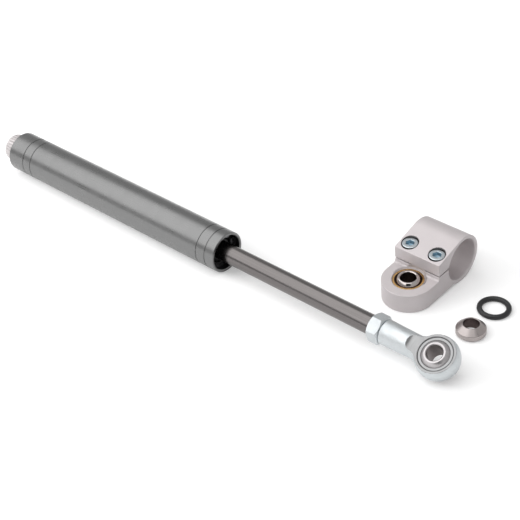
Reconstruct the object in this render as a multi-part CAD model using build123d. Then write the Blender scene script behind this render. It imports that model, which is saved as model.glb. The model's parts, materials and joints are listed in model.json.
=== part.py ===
from build123d import *
import math
import os

# Steering damper with its pinch clamp, conical spacer and O-ring, as laid out on a table.
# Millimetres. The damper's axis is X, the rod leaves the tube towards +X and Z is up.
# The origin is on the axis, halfway along the tube. The table is the plane z = TABLE_Z.

# Cylinder tube
TUBE_LENGTH = 159.0
TUBE_OD = 22.0
TUBE_WALL = 1.5
TUBE_CHAMFER = 0.35
GROOVE_WIDTH = 0.5
GROOVE_DEPTH = 0.3
GROOVE_PITCH = 6.0
FRONT_GROOVE_INSET = 6.0
REAR_GROOVE_INSET = 11.8

# Clearances, measured on the radius or along one face
SEAT_GAP = 0.02
RUNNING_GAP = 0.04
SIDE_GAP = 0.05
STATIC_RING_GAP = 0.01

# How far a cutting shape runs past the face that it cuts
PAST = 1.0

# Circlips, one at each end of the tube
CIRCLIP_THICKNESS = 1.0
CIRCLIP_GROOVE_DEPTH = 0.7
CIRCLIP_WIDTH = 1.7
CIRCLIP_LUG_RADIUS = 1.5
CIRCLIP_HOLE_RADIUS = 0.8
CIRCLIP_LUG_ANGLE = 22.0
FRONT_CIRCLIP_TURN = 35.0
REAR_CIRCLIP_TURN = -145.0

# Rod guide at the front end, with its bush, seal, wiper and O-ring
GUIDE_RECESS = 4.5
GUIDE_LENGTH = 19.0
SPIGOT_LENGTH = 3.0
BUSH_WALL = 1.2
BUSH_LENGTH = 8.0
SEAL_WALL = 2.3
SEAL_LENGTH = 3.4
SEAL_LAND = 1.6
WIPER_WALL = 2.4
WIPER_LENGTH = 3.0
WIPER_LIP_REACH = 1.5
WIPER_LIP_WALL = 0.7
RING_GROOVE_DEPTH = 1.5
RING_GROOVE_WIDTH = 2.1

# Working tube and the foam round it
WORK_BORE = 13.4
WORK_WALL = 0.8
FOAM_LENGTH = 60.0
FOAM_GAP = 0.4
FOAM_INSET = 12.0

# Piston rod and what it carries
ROD_D = 10.0
ROD_OUT = 94.0
ROD_CHAMFER = 0.5
PISTON_BOLT_D = 6.0
PISTON_BOLT_OVERHANG = 1.0
PISTON_LENGTH = 10.0
PISTON_GAP = 0.06
PISTON_RING_WIDTH = 3.0
PISTON_RING_DEPTH = 1.25
PISTON_RING_SPLIT = 0.6
PASSAGE_COUNT = 4
PASSAGE_D = 1.4
SHIM_THICKNESS = 0.25
SHIM_STEP = 0.6
SHIM_COUNT = 3
PISTON_NUT_FLATS = 10.0
PISTON_NUT_HEIGHT = 5.0
BUMPER_LENGTH = 4.0
BUMPER_WALL = 1.2
BUMPER_GAP = 0.5

# Lock nut and rod end
EYE_THREAD_D = 8.0
LOCK_NUT_FLATS = 13.0
LOCK_NUT_HEIGHT = 6.5
LOCK_NUT_TURN = 44.0
EYE_ROLL = 28.8
EYE_TO_END = 30.2
EYE_HEAD_D = 21.6
EYE_THICKNESS = 9.0
EYE_SHANK_D = 12.6
EYE_NECK_D = 11.9
EYE_NECK_FILLET = 8.0
EYE_SHANK_CHAMFER = 0.7
EYE_THREAD_DEPTH = 15.0
EYE_STUD_LENGTH = 13.0
FLAT_REACH = 12.6
FLAT_RUNOUT = 3.0
EYE_RACE_D = 17.0
EYE_RACE_WIDTH = 8.4
EYE_BALL_D = 15.875
EYE_BALL_WIDTH = 12.0
BOLT_BORE_D = 8.0
BORE_CHAMFER = 0.4
RACE_CHAMFER = 0.3
BALL_GAP = 0.05

# Rear cap, valve body and adjuster
REAR_RECESS = 2.5
CAP_LENGTH = 8.0
VALVE_LAND_LENGTH = 7.0
VALVE_NOSE_LENGTH = 4.0
VALVE_NOSE_D = 16.0
SPINDLE_D = 6.0
SPINDLE_COLLAR_D = 9.8
SPINDLE_COLLAR_WIDTH = 2.0
SPINDLE_RING_DEPTH = 0.9
SPINDLE_RING_WIDTH = 1.3
SPINDLE_RING_INSET = 2.4
SPINDLE_FLAT_DEPTH = 0.7
NEEDLE_D = 3.0
NEEDLE_FLAT_DEPTH = 0.5
NEEDLE_THREAD_LENGTH = 5.0
NEEDLE_TIP_LENGTH = 2.4
NEEDLE_TIP_D = 0.8
NEEDLE_OPENING = 1.0
NEEDLE_RING_DEPTH = 0.9
NEEDLE_RING_WIDTH = 1.3
NEEDLE_RING_INSET = 1.7
NEEDLE_KEY_LENGTH = 2.2
NEEDLE_KEY_SPARE = 1.1
ORIFICE_D = 1.8
CHAMBER_D = 4.6
CHAMBER_LENGTH = 4.0
PORT_D = 2.0
PORT_COUNT = 4
KNOB_D = 15.0
KNOB_LENGTH = 8.0
KNOB_GAP = 0.6
KNOB_ROUNDING = 1.0
KNOB_WEB = 1.6
KNOB_HUB_D = 11.4
HUB_GAP = 0.25
FLUTE_COUNT = 24
FLUTE_D = 1.0
FLUTE_DEPTH = 0.25
KNOB_SCREW_D = 3.0
KNOB_SCREW_HEAD_D = 5.5
KNOB_SCREW_HEAD_HEIGHT = 2.0
KNOB_SCREW_FLATS = 2.0
KNOB_SCREW_LENGTH = 5.0
KNOB_SCREW_SOCKET_DEPTH = 1.2
KNOB_SCREW_HEAD_GAP = 0.2
KNOB_SCREW_SPARE = 0.5
DETENT_COUNT = 18
DETENT_D = 2.0
DETENT_DEPTH = 0.25
DETENT_PITCH_R = 4.6
DETENT_HOLE_DEPTH = 5.0
DETENT_GAP = 0.05
SPRING_WIRE_D = 0.3
SPRING_TURNS = 4

# Pinch clamp, in its own frame: X along its bore, -Y towards its ear, Z up from the bore's axis
CLAMP_X = 164.8
CLAMP_Y = 65.4
CLAMP_WIDTH = 27.0
CLAMP_RING_WALL = 2.05
CLAMP_BORE_GAP = 0.05
CLAMP_FRONT = 19.6
CLAMP_FRONT_TOP = 8.9
SLIT_MIDDLE = 1.8
SLIT_WIDTH = 0.8
EAR_TOP = -0.6
EAR_THICKNESS = 10.6
EAR_REACH = 26.65
CLAMP_EDGE = 0.5
EAR_FILLET = 1.2
SCREW_SPACING = 16.2
SCREW_INSET = 5.6
SCREW_D = 5.0
SCREW_HOLE_GAP = 0.15
SCREW_HEAD_D = 8.2
SCREW_HEAD_HEIGHT = 3.5
SCREW_HEAD_GAP = 0.25
SCREW_SEAT = 6.5
SCREW_LENGTH = 14.0
SCREW_SOCKET_FLATS = 4.0
SCREW_SOCKET_DEPTH = 2.2
TAPPED_SPARE = 0.8

# Spherical bearing in the clamp's ear
BEARING_RACE_D = 16.0
BEARING_RACE_WIDTH = 5.0
BEARING_RACE_INSET = 0.4
BEARING_BALL_D = 13.0
BEARING_BALL_WIDTH = 8.0
BEARING_BORE_D = 8.0
BEARING_RELIEF_D = 13.2
SPOT_FACE_D = 17.4

# Conical spacer and loose O-ring
SPACER_X = 204.96
SPACER_Y = 34.79
SPACER_D = 14.8
SPACER_BORE_D = 8.0
SPACER_HEIGHT = 6.0
SPACER_BAND_TOP = 3.3
SPACER_BASE_CHAMFER = 0.9
SPACER_TOP_LAND = 0.5
O_RING_X = 204.0
O_RING_Y = 55.92
O_RING_MEAN_D = 14.3
O_RING_CORD_D = 2.7

# Places along the axis that follow from the sizes
TABLE_Z = -TUBE_OD / 2
FRONT_X = TUBE_LENGTH / 2
REAR_X = -TUBE_LENGTH / 2
TUBE_BORE_R = TUBE_OD / 2 - TUBE_WALL
ROD_R = ROD_D / 2
WORK_R = WORK_BORE / 2
WORK_OUTER_R = WORK_R + WORK_WALL
GUIDE_FACE_X = FRONT_X - GUIDE_RECESS
GUIDE_SHOULDER_X = GUIDE_FACE_X - GUIDE_LENGTH
WIPER_X = GUIDE_FACE_X - WIPER_LENGTH - WIPER_LIP_REACH
GUIDE_END_X = GUIDE_SHOULDER_X - SPIGOT_LENGTH
CAP_FACE_X = REAR_X + REAR_RECESS
CAP_INNER_X = CAP_FACE_X + CAP_LENGTH
VALVE_NOSE_X = CAP_INNER_X + VALVE_LAND_LENGTH
VALVE_SHOULDER_X = VALVE_NOSE_X + VALVE_NOSE_LENGTH
VALVE_END_X = VALVE_SHOULDER_X + SPIGOT_LENGTH
BUMPER_X = GUIDE_END_X - BUMPER_GAP - BUMPER_LENGTH
PISTON_X = BUMPER_X - PISTON_LENGTH
PISTON_NUT_X = PISTON_X - SHIM_COUNT * SHIM_THICKNESS - PISTON_NUT_HEIGHT
NUT_X = FRONT_X + ROD_OUT
EYE_END_X = NUT_X + LOCK_NUT_HEIGHT
EYE_X = EYE_END_X + EYE_TO_END
HUB_FACE_X = CAP_FACE_X - HUB_GAP
KNOB_INNER_X = REAR_X - KNOB_GAP
KNOB_OUTER_X = KNOB_INNER_X - KNOB_LENGTH
KNOB_WEB_X = KNOB_OUTER_X + KNOB_SCREW_HEAD_HEIGHT + KNOB_WEB
SEAT_X = VALVE_NOSE_X + CHAMBER_LENGTH
NEEDLE_TIP_X = SEAT_X - NEEDLE_OPENING + NEEDLE_TIP_LENGTH / 2
SEAL_X = WIPER_X - SEAL_LAND - SEAL_LENGTH
GUIDE_RING_X = (GUIDE_END_X + BUSH_LENGTH + SEAL_X) / 2
CAP_RING_X = CAP_FACE_X + CAP_LENGTH / 2
VALVE_RING_X = CAP_INNER_X + VALVE_LAND_LENGTH / 2
COLLAR_X = CAP_INNER_X - SPINDLE_COLLAR_WIDTH - SIDE_GAP
SPINDLE_RING_X = CAP_FACE_X + SPINDLE_RING_INSET
NEEDLE_RING_X = VALVE_NOSE_X - NEEDLE_RING_INSET
CLAMP_BORE_R = TUBE_OD / 2 + CLAMP_BORE_GAP
CLAMP_RING_R = CLAMP_BORE_R + CLAMP_RING_WALL
EAR_BOTTOM = EAR_TOP - EAR_THICKNESS
BEARING_Z = EAR_TOP - BEARING_RACE_INSET - BEARING_RACE_WIDTH / 2


def bar(x0, x1, radius):
    """Round bar along the damper's axis."""
    return Pos((x0 + x1) / 2, 0, 0) * Rot(0, 90, 0) * Cylinder(radius, x1 - x0)


def sleeve(x0, x1, inner, outer):
    """Tube along the damper's axis."""
    return bar(x0, x1, outer) - bar(x0, x1, inner)


def turned(*points):
    """Solid turned about the damper's axis from an outline of (x, radius) points."""
    return revolve(make_face(Polyline(*points, close=True)), Axis.X)


def spun(*points):
    """Solid turned about the Z axis from an outline of (radius, z) points."""
    outline = Polyline(*[(r, 0, z) for r, z in points], close=True)
    return revolve(make_face(outline), Axis.Z)


def seal_ring(x, inner, outer):
    """O-ring squeezed between a groove floor and a bore."""
    cord = (outer - inner) / 2 - STATIC_RING_GAP
    return Pos(x, 0, 0) * Rot(0, 90, 0) * Torus((inner + outer) / 2, cord)


def outer_ring_groove(x):
    """Ring cut out of a plug in the tube for its O-ring."""
    return sleeve(
        x - RING_GROOVE_WIDTH / 2, x + RING_GROOVE_WIDTH / 2,
        TUBE_BORE_R - RING_GROOVE_DEPTH, TUBE_BORE_R + PAST,
    )


def hex_prism(x0, x1, flats, turn):
    """Six-sided bar along the damper's axis, its first corner at the angle turn from +Y."""
    section = Plane.YZ * RegularPolygon(flats / 2, 6, major_radius=False, rotation=turn)
    return Pos(x0, 0, 0) * extrude(section, amount=x1 - x0)


def hex_nut(x0, x1, flats, bore, turn):
    """Hexagon nut with both faces chamfered and its thread left plain."""
    corner = flats / math.sqrt(3)
    drop = (corner - flats * 0.475) * math.tan(math.radians(30))
    envelope = turned(
        (x0, 0), (x0, flats * 0.475), (x0 + drop, corner), (x1 - drop, corner),
        (x1, flats * 0.475), (x1, 0),
    )
    return (hex_prism(x0, x1, flats, turn) & envelope) - bar(x0, x1, bore)


def circlip(x, turn):
    """Internal circlip whose open side faces the angle turn from +Y."""
    outer = TUBE_BORE_R + CIRCLIP_GROOVE_DEPTH - SIDE_GAP
    inner = outer - CIRCLIP_WIDTH
    lug_r = inner + CIRCLIP_LUG_RADIUS - CIRCLIP_WIDTH
    lugs = [
        Rot(0, 0, side * CIRCLIP_LUG_ANGLE) * Pos(lug_r, 0, 0) for side in (-1, 1)
    ]
    open_side = Pos(outer, 0, 0) * Rectangle(
        2 * outer, 2 * lug_r * math.sin(math.radians(CIRCLIP_LUG_ANGLE))
    )
    section = Circle(outer) - Circle(inner) - open_side
    for lug in lugs:
        section += lug * Circle(CIRCLIP_LUG_RADIUS)
    for lug in lugs:
        section -= lug * Circle(CIRCLIP_HOLE_RADIUS)
    section &= Circle(outer)
    return Pos(x, 0, 0) * extrude(Plane.YZ * Rot(0, 0, turn) * section, amount=CIRCLIP_THICKNESS)


def circlip_groove(x):
    """Ring cut out of the tube's bore for a circlip."""
    return sleeve(
        x - SIDE_GAP, x + CIRCLIP_THICKNESS + SIDE_GAP,
        TUBE_BORE_R - SIDE_GAP, TUBE_BORE_R + CIRCLIP_GROOVE_DEPTH,
    )


def front_circlip():
    """Circlip that holds the rod guide in."""
    return circlip(GUIDE_FACE_X, FRONT_CIRCLIP_TURN)


def rear_circlip():
    """Circlip that holds the rear cap in."""
    return circlip(CAP_FACE_X - CIRCLIP_THICKNESS, REAR_CIRCLIP_TURN)


def cylinder_tube():
    """Outer tube, open at both ends, with two turned lines near each end."""
    outer = TUBE_OD / 2
    edge = TUBE_CHAMFER
    tube = turned(
        (REAR_X, TUBE_BORE_R + edge), (REAR_X, outer - edge), (REAR_X + edge, outer),
        (FRONT_X - edge, outer), (FRONT_X, outer - edge), (FRONT_X, TUBE_BORE_R + edge),
        (FRONT_X - edge, TUBE_BORE_R), (REAR_X + edge, TUBE_BORE_R),
    )
    places = [FRONT_X - FRONT_GROOVE_INSET - n * GROOVE_PITCH for n in range(2)]
    places += [REAR_X + REAR_GROOVE_INSET + n * GROOVE_PITCH for n in range(2)]
    for x in places:
        tube -= sleeve(x - GROOVE_WIDTH / 2, x + GROOVE_WIDTH / 2, outer - GROOVE_DEPTH, outer + PAST)
    tube -= circlip_groove(GUIDE_FACE_X)
    tube -= circlip_groove(CAP_FACE_X - CIRCLIP_THICKNESS)
    return tube


def working_tube():
    """Inner tube in which the piston runs, held between the valve body and the rod guide."""
    return sleeve(VALVE_SHOULDER_X, GUIDE_SHOULDER_X, WORK_R, WORK_OUTER_R)


def foam_sleeve():
    """Closed-cell foam on the working tube, which gives way as the rod enters the oil."""
    end = GUIDE_SHOULDER_X - FOAM_INSET
    inner = WORK_OUTER_R + SEAT_GAP
    return sleeve(end - FOAM_LENGTH, end, inner, TUBE_BORE_R - FOAM_GAP)


def rod_guide():
    """Black gland that closes the tube round the rod and carries its bush and seals."""
    guide = bar(GUIDE_SHOULDER_X, GUIDE_FACE_X, TUBE_BORE_R - SEAT_GAP)
    guide += bar(GUIDE_END_X, GUIDE_SHOULDER_X, WORK_R - SEAT_GAP)
    guide -= bar(GUIDE_END_X - PAST, GUIDE_FACE_X + PAST, ROD_R + 2 * RUNNING_GAP)
    guide -= bar(WIPER_X, GUIDE_FACE_X + PAST, ROD_R + WIPER_WALL)
    guide -= bar(SEAL_X, SEAL_X + SEAL_LENGTH, ROD_R + SEAL_WALL)
    guide -= bar(GUIDE_END_X - PAST, GUIDE_END_X + BUSH_LENGTH, ROD_R + BUSH_WALL)
    return guide - outer_ring_groove(GUIDE_RING_X)


def guide_bush():
    """Split-free bearing bush pressed into the guide's inner end."""
    return sleeve(
        GUIDE_END_X, GUIDE_END_X + BUSH_LENGTH, ROD_R + RUNNING_GAP, ROD_R + BUSH_WALL - SEAT_GAP
    )


def rod_seal():
    """Oil seal in its groove, with a hollow back that the oil presses open."""
    back = SEAL_X
    front = SEAL_X + SEAL_LENGTH
    inner = ROD_R + RUNNING_GAP
    outer = ROD_R + SEAL_WALL - SEAT_GAP
    third = (outer - inner) / 3
    return turned(
        (back, inner), (front, inner), (front, outer), (back, outer), (back, outer - third),
        (back + SEAL_LENGTH / 2, (inner + outer) / 2), (back, inner + third),
    )


def rod_wiper():
    """Wiper in the mouth of the guide, with a lip that runs out along the rod."""
    inner = ROD_R + RUNNING_GAP
    outer = ROD_R + WIPER_WALL - SEAT_GAP
    step = WIPER_X + WIPER_LENGTH
    return turned(
        (WIPER_X, inner), (GUIDE_FACE_X, inner), (GUIDE_FACE_X, inner + WIPER_LIP_WALL),
        (step, outer - WIPER_LIP_WALL), (step, outer), (WIPER_X, outer),
    )


def guide_o_ring():
    """Seal between the guide and the tube."""
    return seal_ring(GUIDE_RING_X, TUBE_BORE_R - RING_GROOVE_DEPTH, TUBE_BORE_R)


def piston_rod():
    """Ground rod, turned down for the piston at one end and for the rod end at the other."""
    bolt_r = PISTON_BOLT_D / 2
    stud_r = EYE_THREAD_D / 2 - SEAT_GAP
    bolt_end = PISTON_NUT_X - PISTON_BOLT_OVERHANG
    stud_end = EYE_END_X + EYE_STUD_LENGTH
    edge = ROD_CHAMFER
    return turned(
        (bolt_end, 0), (bolt_end, bolt_r - edge), (bolt_end + edge, bolt_r),
        (BUMPER_X, bolt_r), (BUMPER_X, ROD_R), (NUT_X - edge, ROD_R), (NUT_X, ROD_R - edge),
        (NUT_X, stud_r), (stud_end - edge, stud_r), (stud_end, stud_r - edge), (stud_end, 0),
    )


def piston():
    """Piston with a ring groove and straight oil passages between its two faces."""
    outer = WORK_R - PISTON_GAP
    middle = PISTON_X + PISTON_LENGTH / 2
    floor = outer - PISTON_RING_DEPTH
    body = sleeve(PISTON_X, BUMPER_X, PISTON_BOLT_D / 2 + SEAT_GAP, outer)
    body -= sleeve(middle - PISTON_RING_WIDTH / 2, middle + PISTON_RING_WIDTH / 2, floor, outer + PAST)
    pitch_r = (PISTON_BOLT_D / 2 + floor) / 2
    for n in range(PASSAGE_COUNT):
        turn = Rot(360 / PASSAGE_COUNT * n, 0, 0)
        body -= turn * Pos(0, 0, pitch_r) * bar(PISTON_X - PAST, BUMPER_X + PAST, PASSAGE_D / 2)
    return body


def piston_ring():
    """Split ring in the piston's groove, which stays still while the rod turns."""
    middle = PISTON_X + PISTON_LENGTH / 2
    half = PISTON_RING_WIDTH / 2 - SIDE_GAP
    floor = WORK_R - PISTON_GAP - PISTON_RING_DEPTH
    ring = sleeve(middle - half, middle + half, floor + SIDE_GAP, WORK_R - SEAT_GAP)
    return ring - Pos(middle, 0, WORK_R) * Box(2 * PISTON_RING_WIDTH, PISTON_RING_SPLIT, WORK_R)


def piston_shims():
    """Stack of thin washers that bends away from the passages, smaller towards the nut."""
    shims = []
    largest = WORK_R - PISTON_GAP - PISTON_RING_DEPTH
    for n in range(SHIM_COUNT):
        end = PISTON_X - n * SHIM_THICKNESS
        outer = largest - n * SHIM_STEP
        shims.append(sleeve(end - SHIM_THICKNESS, end, PISTON_BOLT_D / 2 + SEAT_GAP, outer))
    return Compound(children=shims)


def piston_nut():
    """Nut that holds the piston and the shims on the rod."""
    return hex_nut(
        PISTON_NUT_X, PISTON_NUT_X + PISTON_NUT_HEIGHT, PISTON_NUT_FLATS,
        PISTON_BOLT_D / 2 + SEAT_GAP, 0,
    )


def top_out_bumper():
    """Rubber ring on the rod that meets the guide when the damper is pulled right out."""
    inner = ROD_R + SEAT_GAP
    return sleeve(BUMPER_X, BUMPER_X + BUMPER_LENGTH, inner, ROD_R + BUMPER_WALL)


def lock_nut():
    """Nut that locks the rod end on the rod."""
    return hex_nut(NUT_X, EYE_END_X, LOCK_NUT_FLATS, EYE_THREAD_D / 2, LOCK_NUT_TURN)


def in_eye(shape):
    """Moves a shape from the rod end's own frame, ball at the origin and bore on Z, to its place."""
    return Pos(EYE_X, 0, 0) * Rot(EYE_ROLL, 0, 0) * shape


def rod_end_housing():
    """Rod end turned from bar: a threaded shank that swells into a round head with milled flats."""
    head_r = EYE_HEAD_D / 2
    shank_r = EYE_SHANK_D / 2
    neck_r = EYE_NECK_D / 2
    fillet_x = -math.sqrt((head_r + EYE_NECK_FILLET) ** 2 - (neck_r + EYE_NECK_FILLET) ** 2)
    fillet_r = neck_r + EYE_NECK_FILLET
    reach = head_r / (head_r + EYE_NECK_FILLET)
    join = (fillet_x * reach, fillet_r * reach)
    slope = math.atan2(join[1] - fillet_r, join[0] - fillet_x)
    bend = (slope - math.pi / 2) / 2
    mid = (
        fillet_x + EYE_NECK_FILLET * math.cos(bend),
        fillet_r + EYE_NECK_FILLET * math.sin(bend),
    )
    crown = ((join[0] + head_r) / 2, 0)
    crown_r = math.hypot(*crown, head_r)
    top = (crown[0] / crown_r * head_r, head_r * head_r / crown_r)
    outline = Polyline(
        (head_r, 0), (-EYE_TO_END, 0), (-EYE_TO_END, shank_r - EYE_SHANK_CHAMFER),
        (-EYE_TO_END + EYE_SHANK_CHAMFER, shank_r), (fillet_x, neck_r),
    )
    outline += ThreePointArc((fillet_x, neck_r), mid, join)
    outline += ThreePointArc(join, top, (head_r, 0))
    housing = revolve(make_face(outline), Axis.X)
    housing -= milled_flat()
    housing -= mirror(milled_flat(), Plane.XY)
    race_r = EYE_RACE_D / 2
    inner = EYE_THICKNESS / 2 - RACE_CHAMFER
    outer = EYE_THICKNESS / 2
    housing -= spun(
        (0, -outer), (race_r + RACE_CHAMFER, -outer), (race_r, -inner), (race_r, inner),
        (race_r + RACE_CHAMFER, outer), (0, outer),
    )
    housing -= bar(-EYE_TO_END - PAST, -EYE_TO_END + EYE_THREAD_DEPTH, EYE_THREAD_D / 2)
    return in_eye(housing)


def milled_flat():
    """Stock that the cutter takes off one side of the head, with a hollow run-out at the shank."""
    z = EYE_THICKNESS / 2
    clear = EYE_HEAD_D
    start = -FLAT_REACH
    arc_mid = (
        start - FLAT_RUNOUT * math.sin(math.pi / 4), 0, z + FLAT_RUNOUT * (1 - math.cos(math.pi / 4))
    )
    arc_end = (start - FLAT_RUNOUT, 0, z + FLAT_RUNOUT)
    outline = ThreePointArc((start, 0, z), arc_mid, arc_end)
    outline += Polyline(
        arc_end, (start - FLAT_RUNOUT, 0, clear), (clear, 0, clear), (clear, 0, z), (start, 0, z)
    )
    return extrude(make_face(outline), amount=clear, both=True)


def ball_shape(diameter, width, bore):
    """Ball with two flats and a through bore on Z, its bore edges chamfered."""
    half = width / 2
    ball = Sphere(diameter / 2) & Cylinder(diameter, width)
    bore_r = bore / 2
    return ball - spun(
        (0, -half), (bore_r + BORE_CHAMFER, -half), (bore_r, -half + BORE_CHAMFER),
        (bore_r, half - BORE_CHAMFER), (bore_r + BORE_CHAMFER, half), (0, half),
    )


def race_shape(diameter, width, ball, edge):
    """Ring round a ball, with a hollow that the ball turns in."""
    outer = diameter / 2 - SEAT_GAP
    half = width / 2
    ring = spun(
        (0, -half), (outer - edge, -half), (outer, -half + edge), (outer, half - edge),
        (outer - edge, half), (0, half),
    )
    return ring - Sphere(ball / 2 + BALL_GAP)


def rod_end_race():
    """Steel race pressed into the rod end's head."""
    return in_eye(race_shape(EYE_RACE_D, EYE_RACE_WIDTH, EYE_BALL_D, RACE_CHAMFER))


def rod_end_ball():
    """Ball of the rod end, bored for the fork's bolt."""
    return in_eye(ball_shape(EYE_BALL_D, EYE_BALL_WIDTH, BOLT_BORE_D))


def detent_place():
    """Where the detent's plunger hole stands in the rear cap's face, straight above the spindle."""
    return Pos(0, 0, DETENT_PITCH_R)


def rear_cap():
    """Plug behind the rear circlip, bored for the adjuster spindle and its detent."""
    cap = sleeve(CAP_FACE_X, CAP_INNER_X, SPINDLE_D / 2 + RUNNING_GAP, TUBE_BORE_R - SEAT_GAP)
    cap -= bar(COLLAR_X - SIDE_GAP, CAP_INNER_X + PAST, SPINDLE_COLLAR_D / 2 + SIDE_GAP)
    cap -= detent_place() * bar(
        CAP_FACE_X - PAST, CAP_FACE_X + DETENT_HOLE_DEPTH, DETENT_D / 2 + RUNNING_GAP
    )
    return cap - outer_ring_groove(CAP_RING_X)


def rear_cap_o_ring():
    """Seal between the rear cap and the tube."""
    return seal_ring(CAP_RING_X, TUBE_BORE_R - RING_GROOVE_DEPTH, TUBE_BORE_R)


def needle_flat(x0, x1, gap):
    """Stock beyond the flat that keeps the needle from turning."""
    bottom = NEEDLE_D / 2 - NEEDLE_FLAT_DEPTH + gap
    return Pos((x0 + x1) / 2, 0, bottom + NEEDLE_D / 2) * Box(x1 - x0, 2 * NEEDLE_D, NEEDLE_D)


def valve_body():
    """Block between the working tube and the cap, with the needle's seat and the return ports."""
    body = bar(CAP_INNER_X, VALVE_NOSE_X, TUBE_BORE_R - SEAT_GAP)
    body += bar(VALVE_NOSE_X, VALVE_SHOULDER_X, VALVE_NOSE_D / 2)
    body += bar(VALVE_SHOULDER_X, VALVE_END_X, WORK_R - SEAT_GAP)
    key_end = CAP_INNER_X + NEEDLE_KEY_LENGTH
    needle_hole = bar(CAP_INNER_X - PAST, VALVE_NOSE_X + PAST, NEEDLE_D / 2 + RUNNING_GAP)
    body -= needle_hole - needle_flat(CAP_INNER_X - PAST, key_end, RUNNING_GAP)
    body -= bar(VALVE_NOSE_X, SEAT_X, CHAMBER_D / 2)
    body -= bar(SEAT_X - PAST, VALVE_END_X + PAST, ORIFICE_D / 2)
    port_x = VALVE_NOSE_X + VALVE_NOSE_LENGTH / 2
    for n in range(PORT_COUNT):
        turn = Rot(360 / PORT_COUNT * n, 0, 0)
        body -= turn * Pos(port_x, 0, VALVE_NOSE_D / 4) * Cylinder(PORT_D / 2, VALVE_NOSE_D / 2 + PAST)
    body -= bar(
        NEEDLE_RING_X - NEEDLE_RING_WIDTH / 2, NEEDLE_RING_X + NEEDLE_RING_WIDTH / 2,
        NEEDLE_D / 2 + NEEDLE_RING_DEPTH,
    )
    return body - outer_ring_groove(VALVE_RING_X)


def valve_body_o_ring():
    """Seal between the valve body and the tube."""
    return seal_ring(VALVE_RING_X, TUBE_BORE_R - RING_GROOVE_DEPTH, TUBE_BORE_R)


def adjuster_needle():
    """Needle that throttles the orifice: taper, flatted guide and threaded tail in one."""
    radius = NEEDLE_D / 2
    tail = CAP_INNER_X - NEEDLE_THREAD_LENGTH
    shoulder = NEEDLE_TIP_X - NEEDLE_TIP_LENGTH
    needle = turned(
        (tail, 0), (tail, radius), (shoulder, radius), (NEEDLE_TIP_X, NEEDLE_TIP_D / 2),
        (NEEDLE_TIP_X, 0),
    )
    return needle - needle_flat(tail - PAST, CAP_INNER_X + NEEDLE_KEY_LENGTH + NEEDLE_KEY_SPARE, 0)


def needle_o_ring():
    """Seal round the needle, in the valve body."""
    inner = NEEDLE_D / 2 + RUNNING_GAP
    return seal_ring(NEEDLE_RING_X, inner, NEEDLE_D / 2 + NEEDLE_RING_DEPTH)


def adjuster_spindle():
    """Spindle that the knob turns: collar inside the cap, thread inside for the needle's tail."""
    radius = SPINDLE_D / 2
    spindle = bar(KNOB_WEB_X, COLLAR_X + SPINDLE_COLLAR_WIDTH, radius)
    spindle += bar(COLLAR_X, COLLAR_X + SPINDLE_COLLAR_WIDTH, SPINDLE_COLLAR_D / 2)
    spindle -= sleeve(
        SPINDLE_RING_X - SPINDLE_RING_WIDTH / 2, SPINDLE_RING_X + SPINDLE_RING_WIDTH / 2,
        radius - SPINDLE_RING_DEPTH, radius + PAST,
    )
    thread_end = CAP_INNER_X - NEEDLE_THREAD_LENGTH - NEEDLE_OPENING
    spindle -= bar(thread_end, CAP_INNER_X + PAST, NEEDLE_D / 2 + RUNNING_GAP)
    screw_end = KNOB_OUTER_X + KNOB_SCREW_HEAD_HEIGHT + KNOB_SCREW_LENGTH
    spindle -= bar(KNOB_WEB_X - PAST, screw_end + KNOB_SCREW_SPARE, KNOB_SCREW_D / 2)
    return spindle - spindle_flat(0)


def spindle_flat(gap):
    """Stock beyond the flat by which the spindle drives the knob."""
    height = SPINDLE_D
    bottom = SPINDLE_D / 2 - SPINDLE_FLAT_DEPTH + gap
    length = HUB_FACE_X - KNOB_WEB_X
    middle = (HUB_FACE_X + KNOB_WEB_X) / 2
    return Pos(middle, 0, bottom + height / 2) * Box(length, 2 * height, height)


def spindle_o_ring():
    """Seal on the spindle, which turns with it in the cap's bore."""
    inner = SPINDLE_D / 2 - SPINDLE_RING_DEPTH
    return seal_ring(SPINDLE_RING_X, inner, SPINDLE_D / 2 + RUNNING_GAP)


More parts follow.
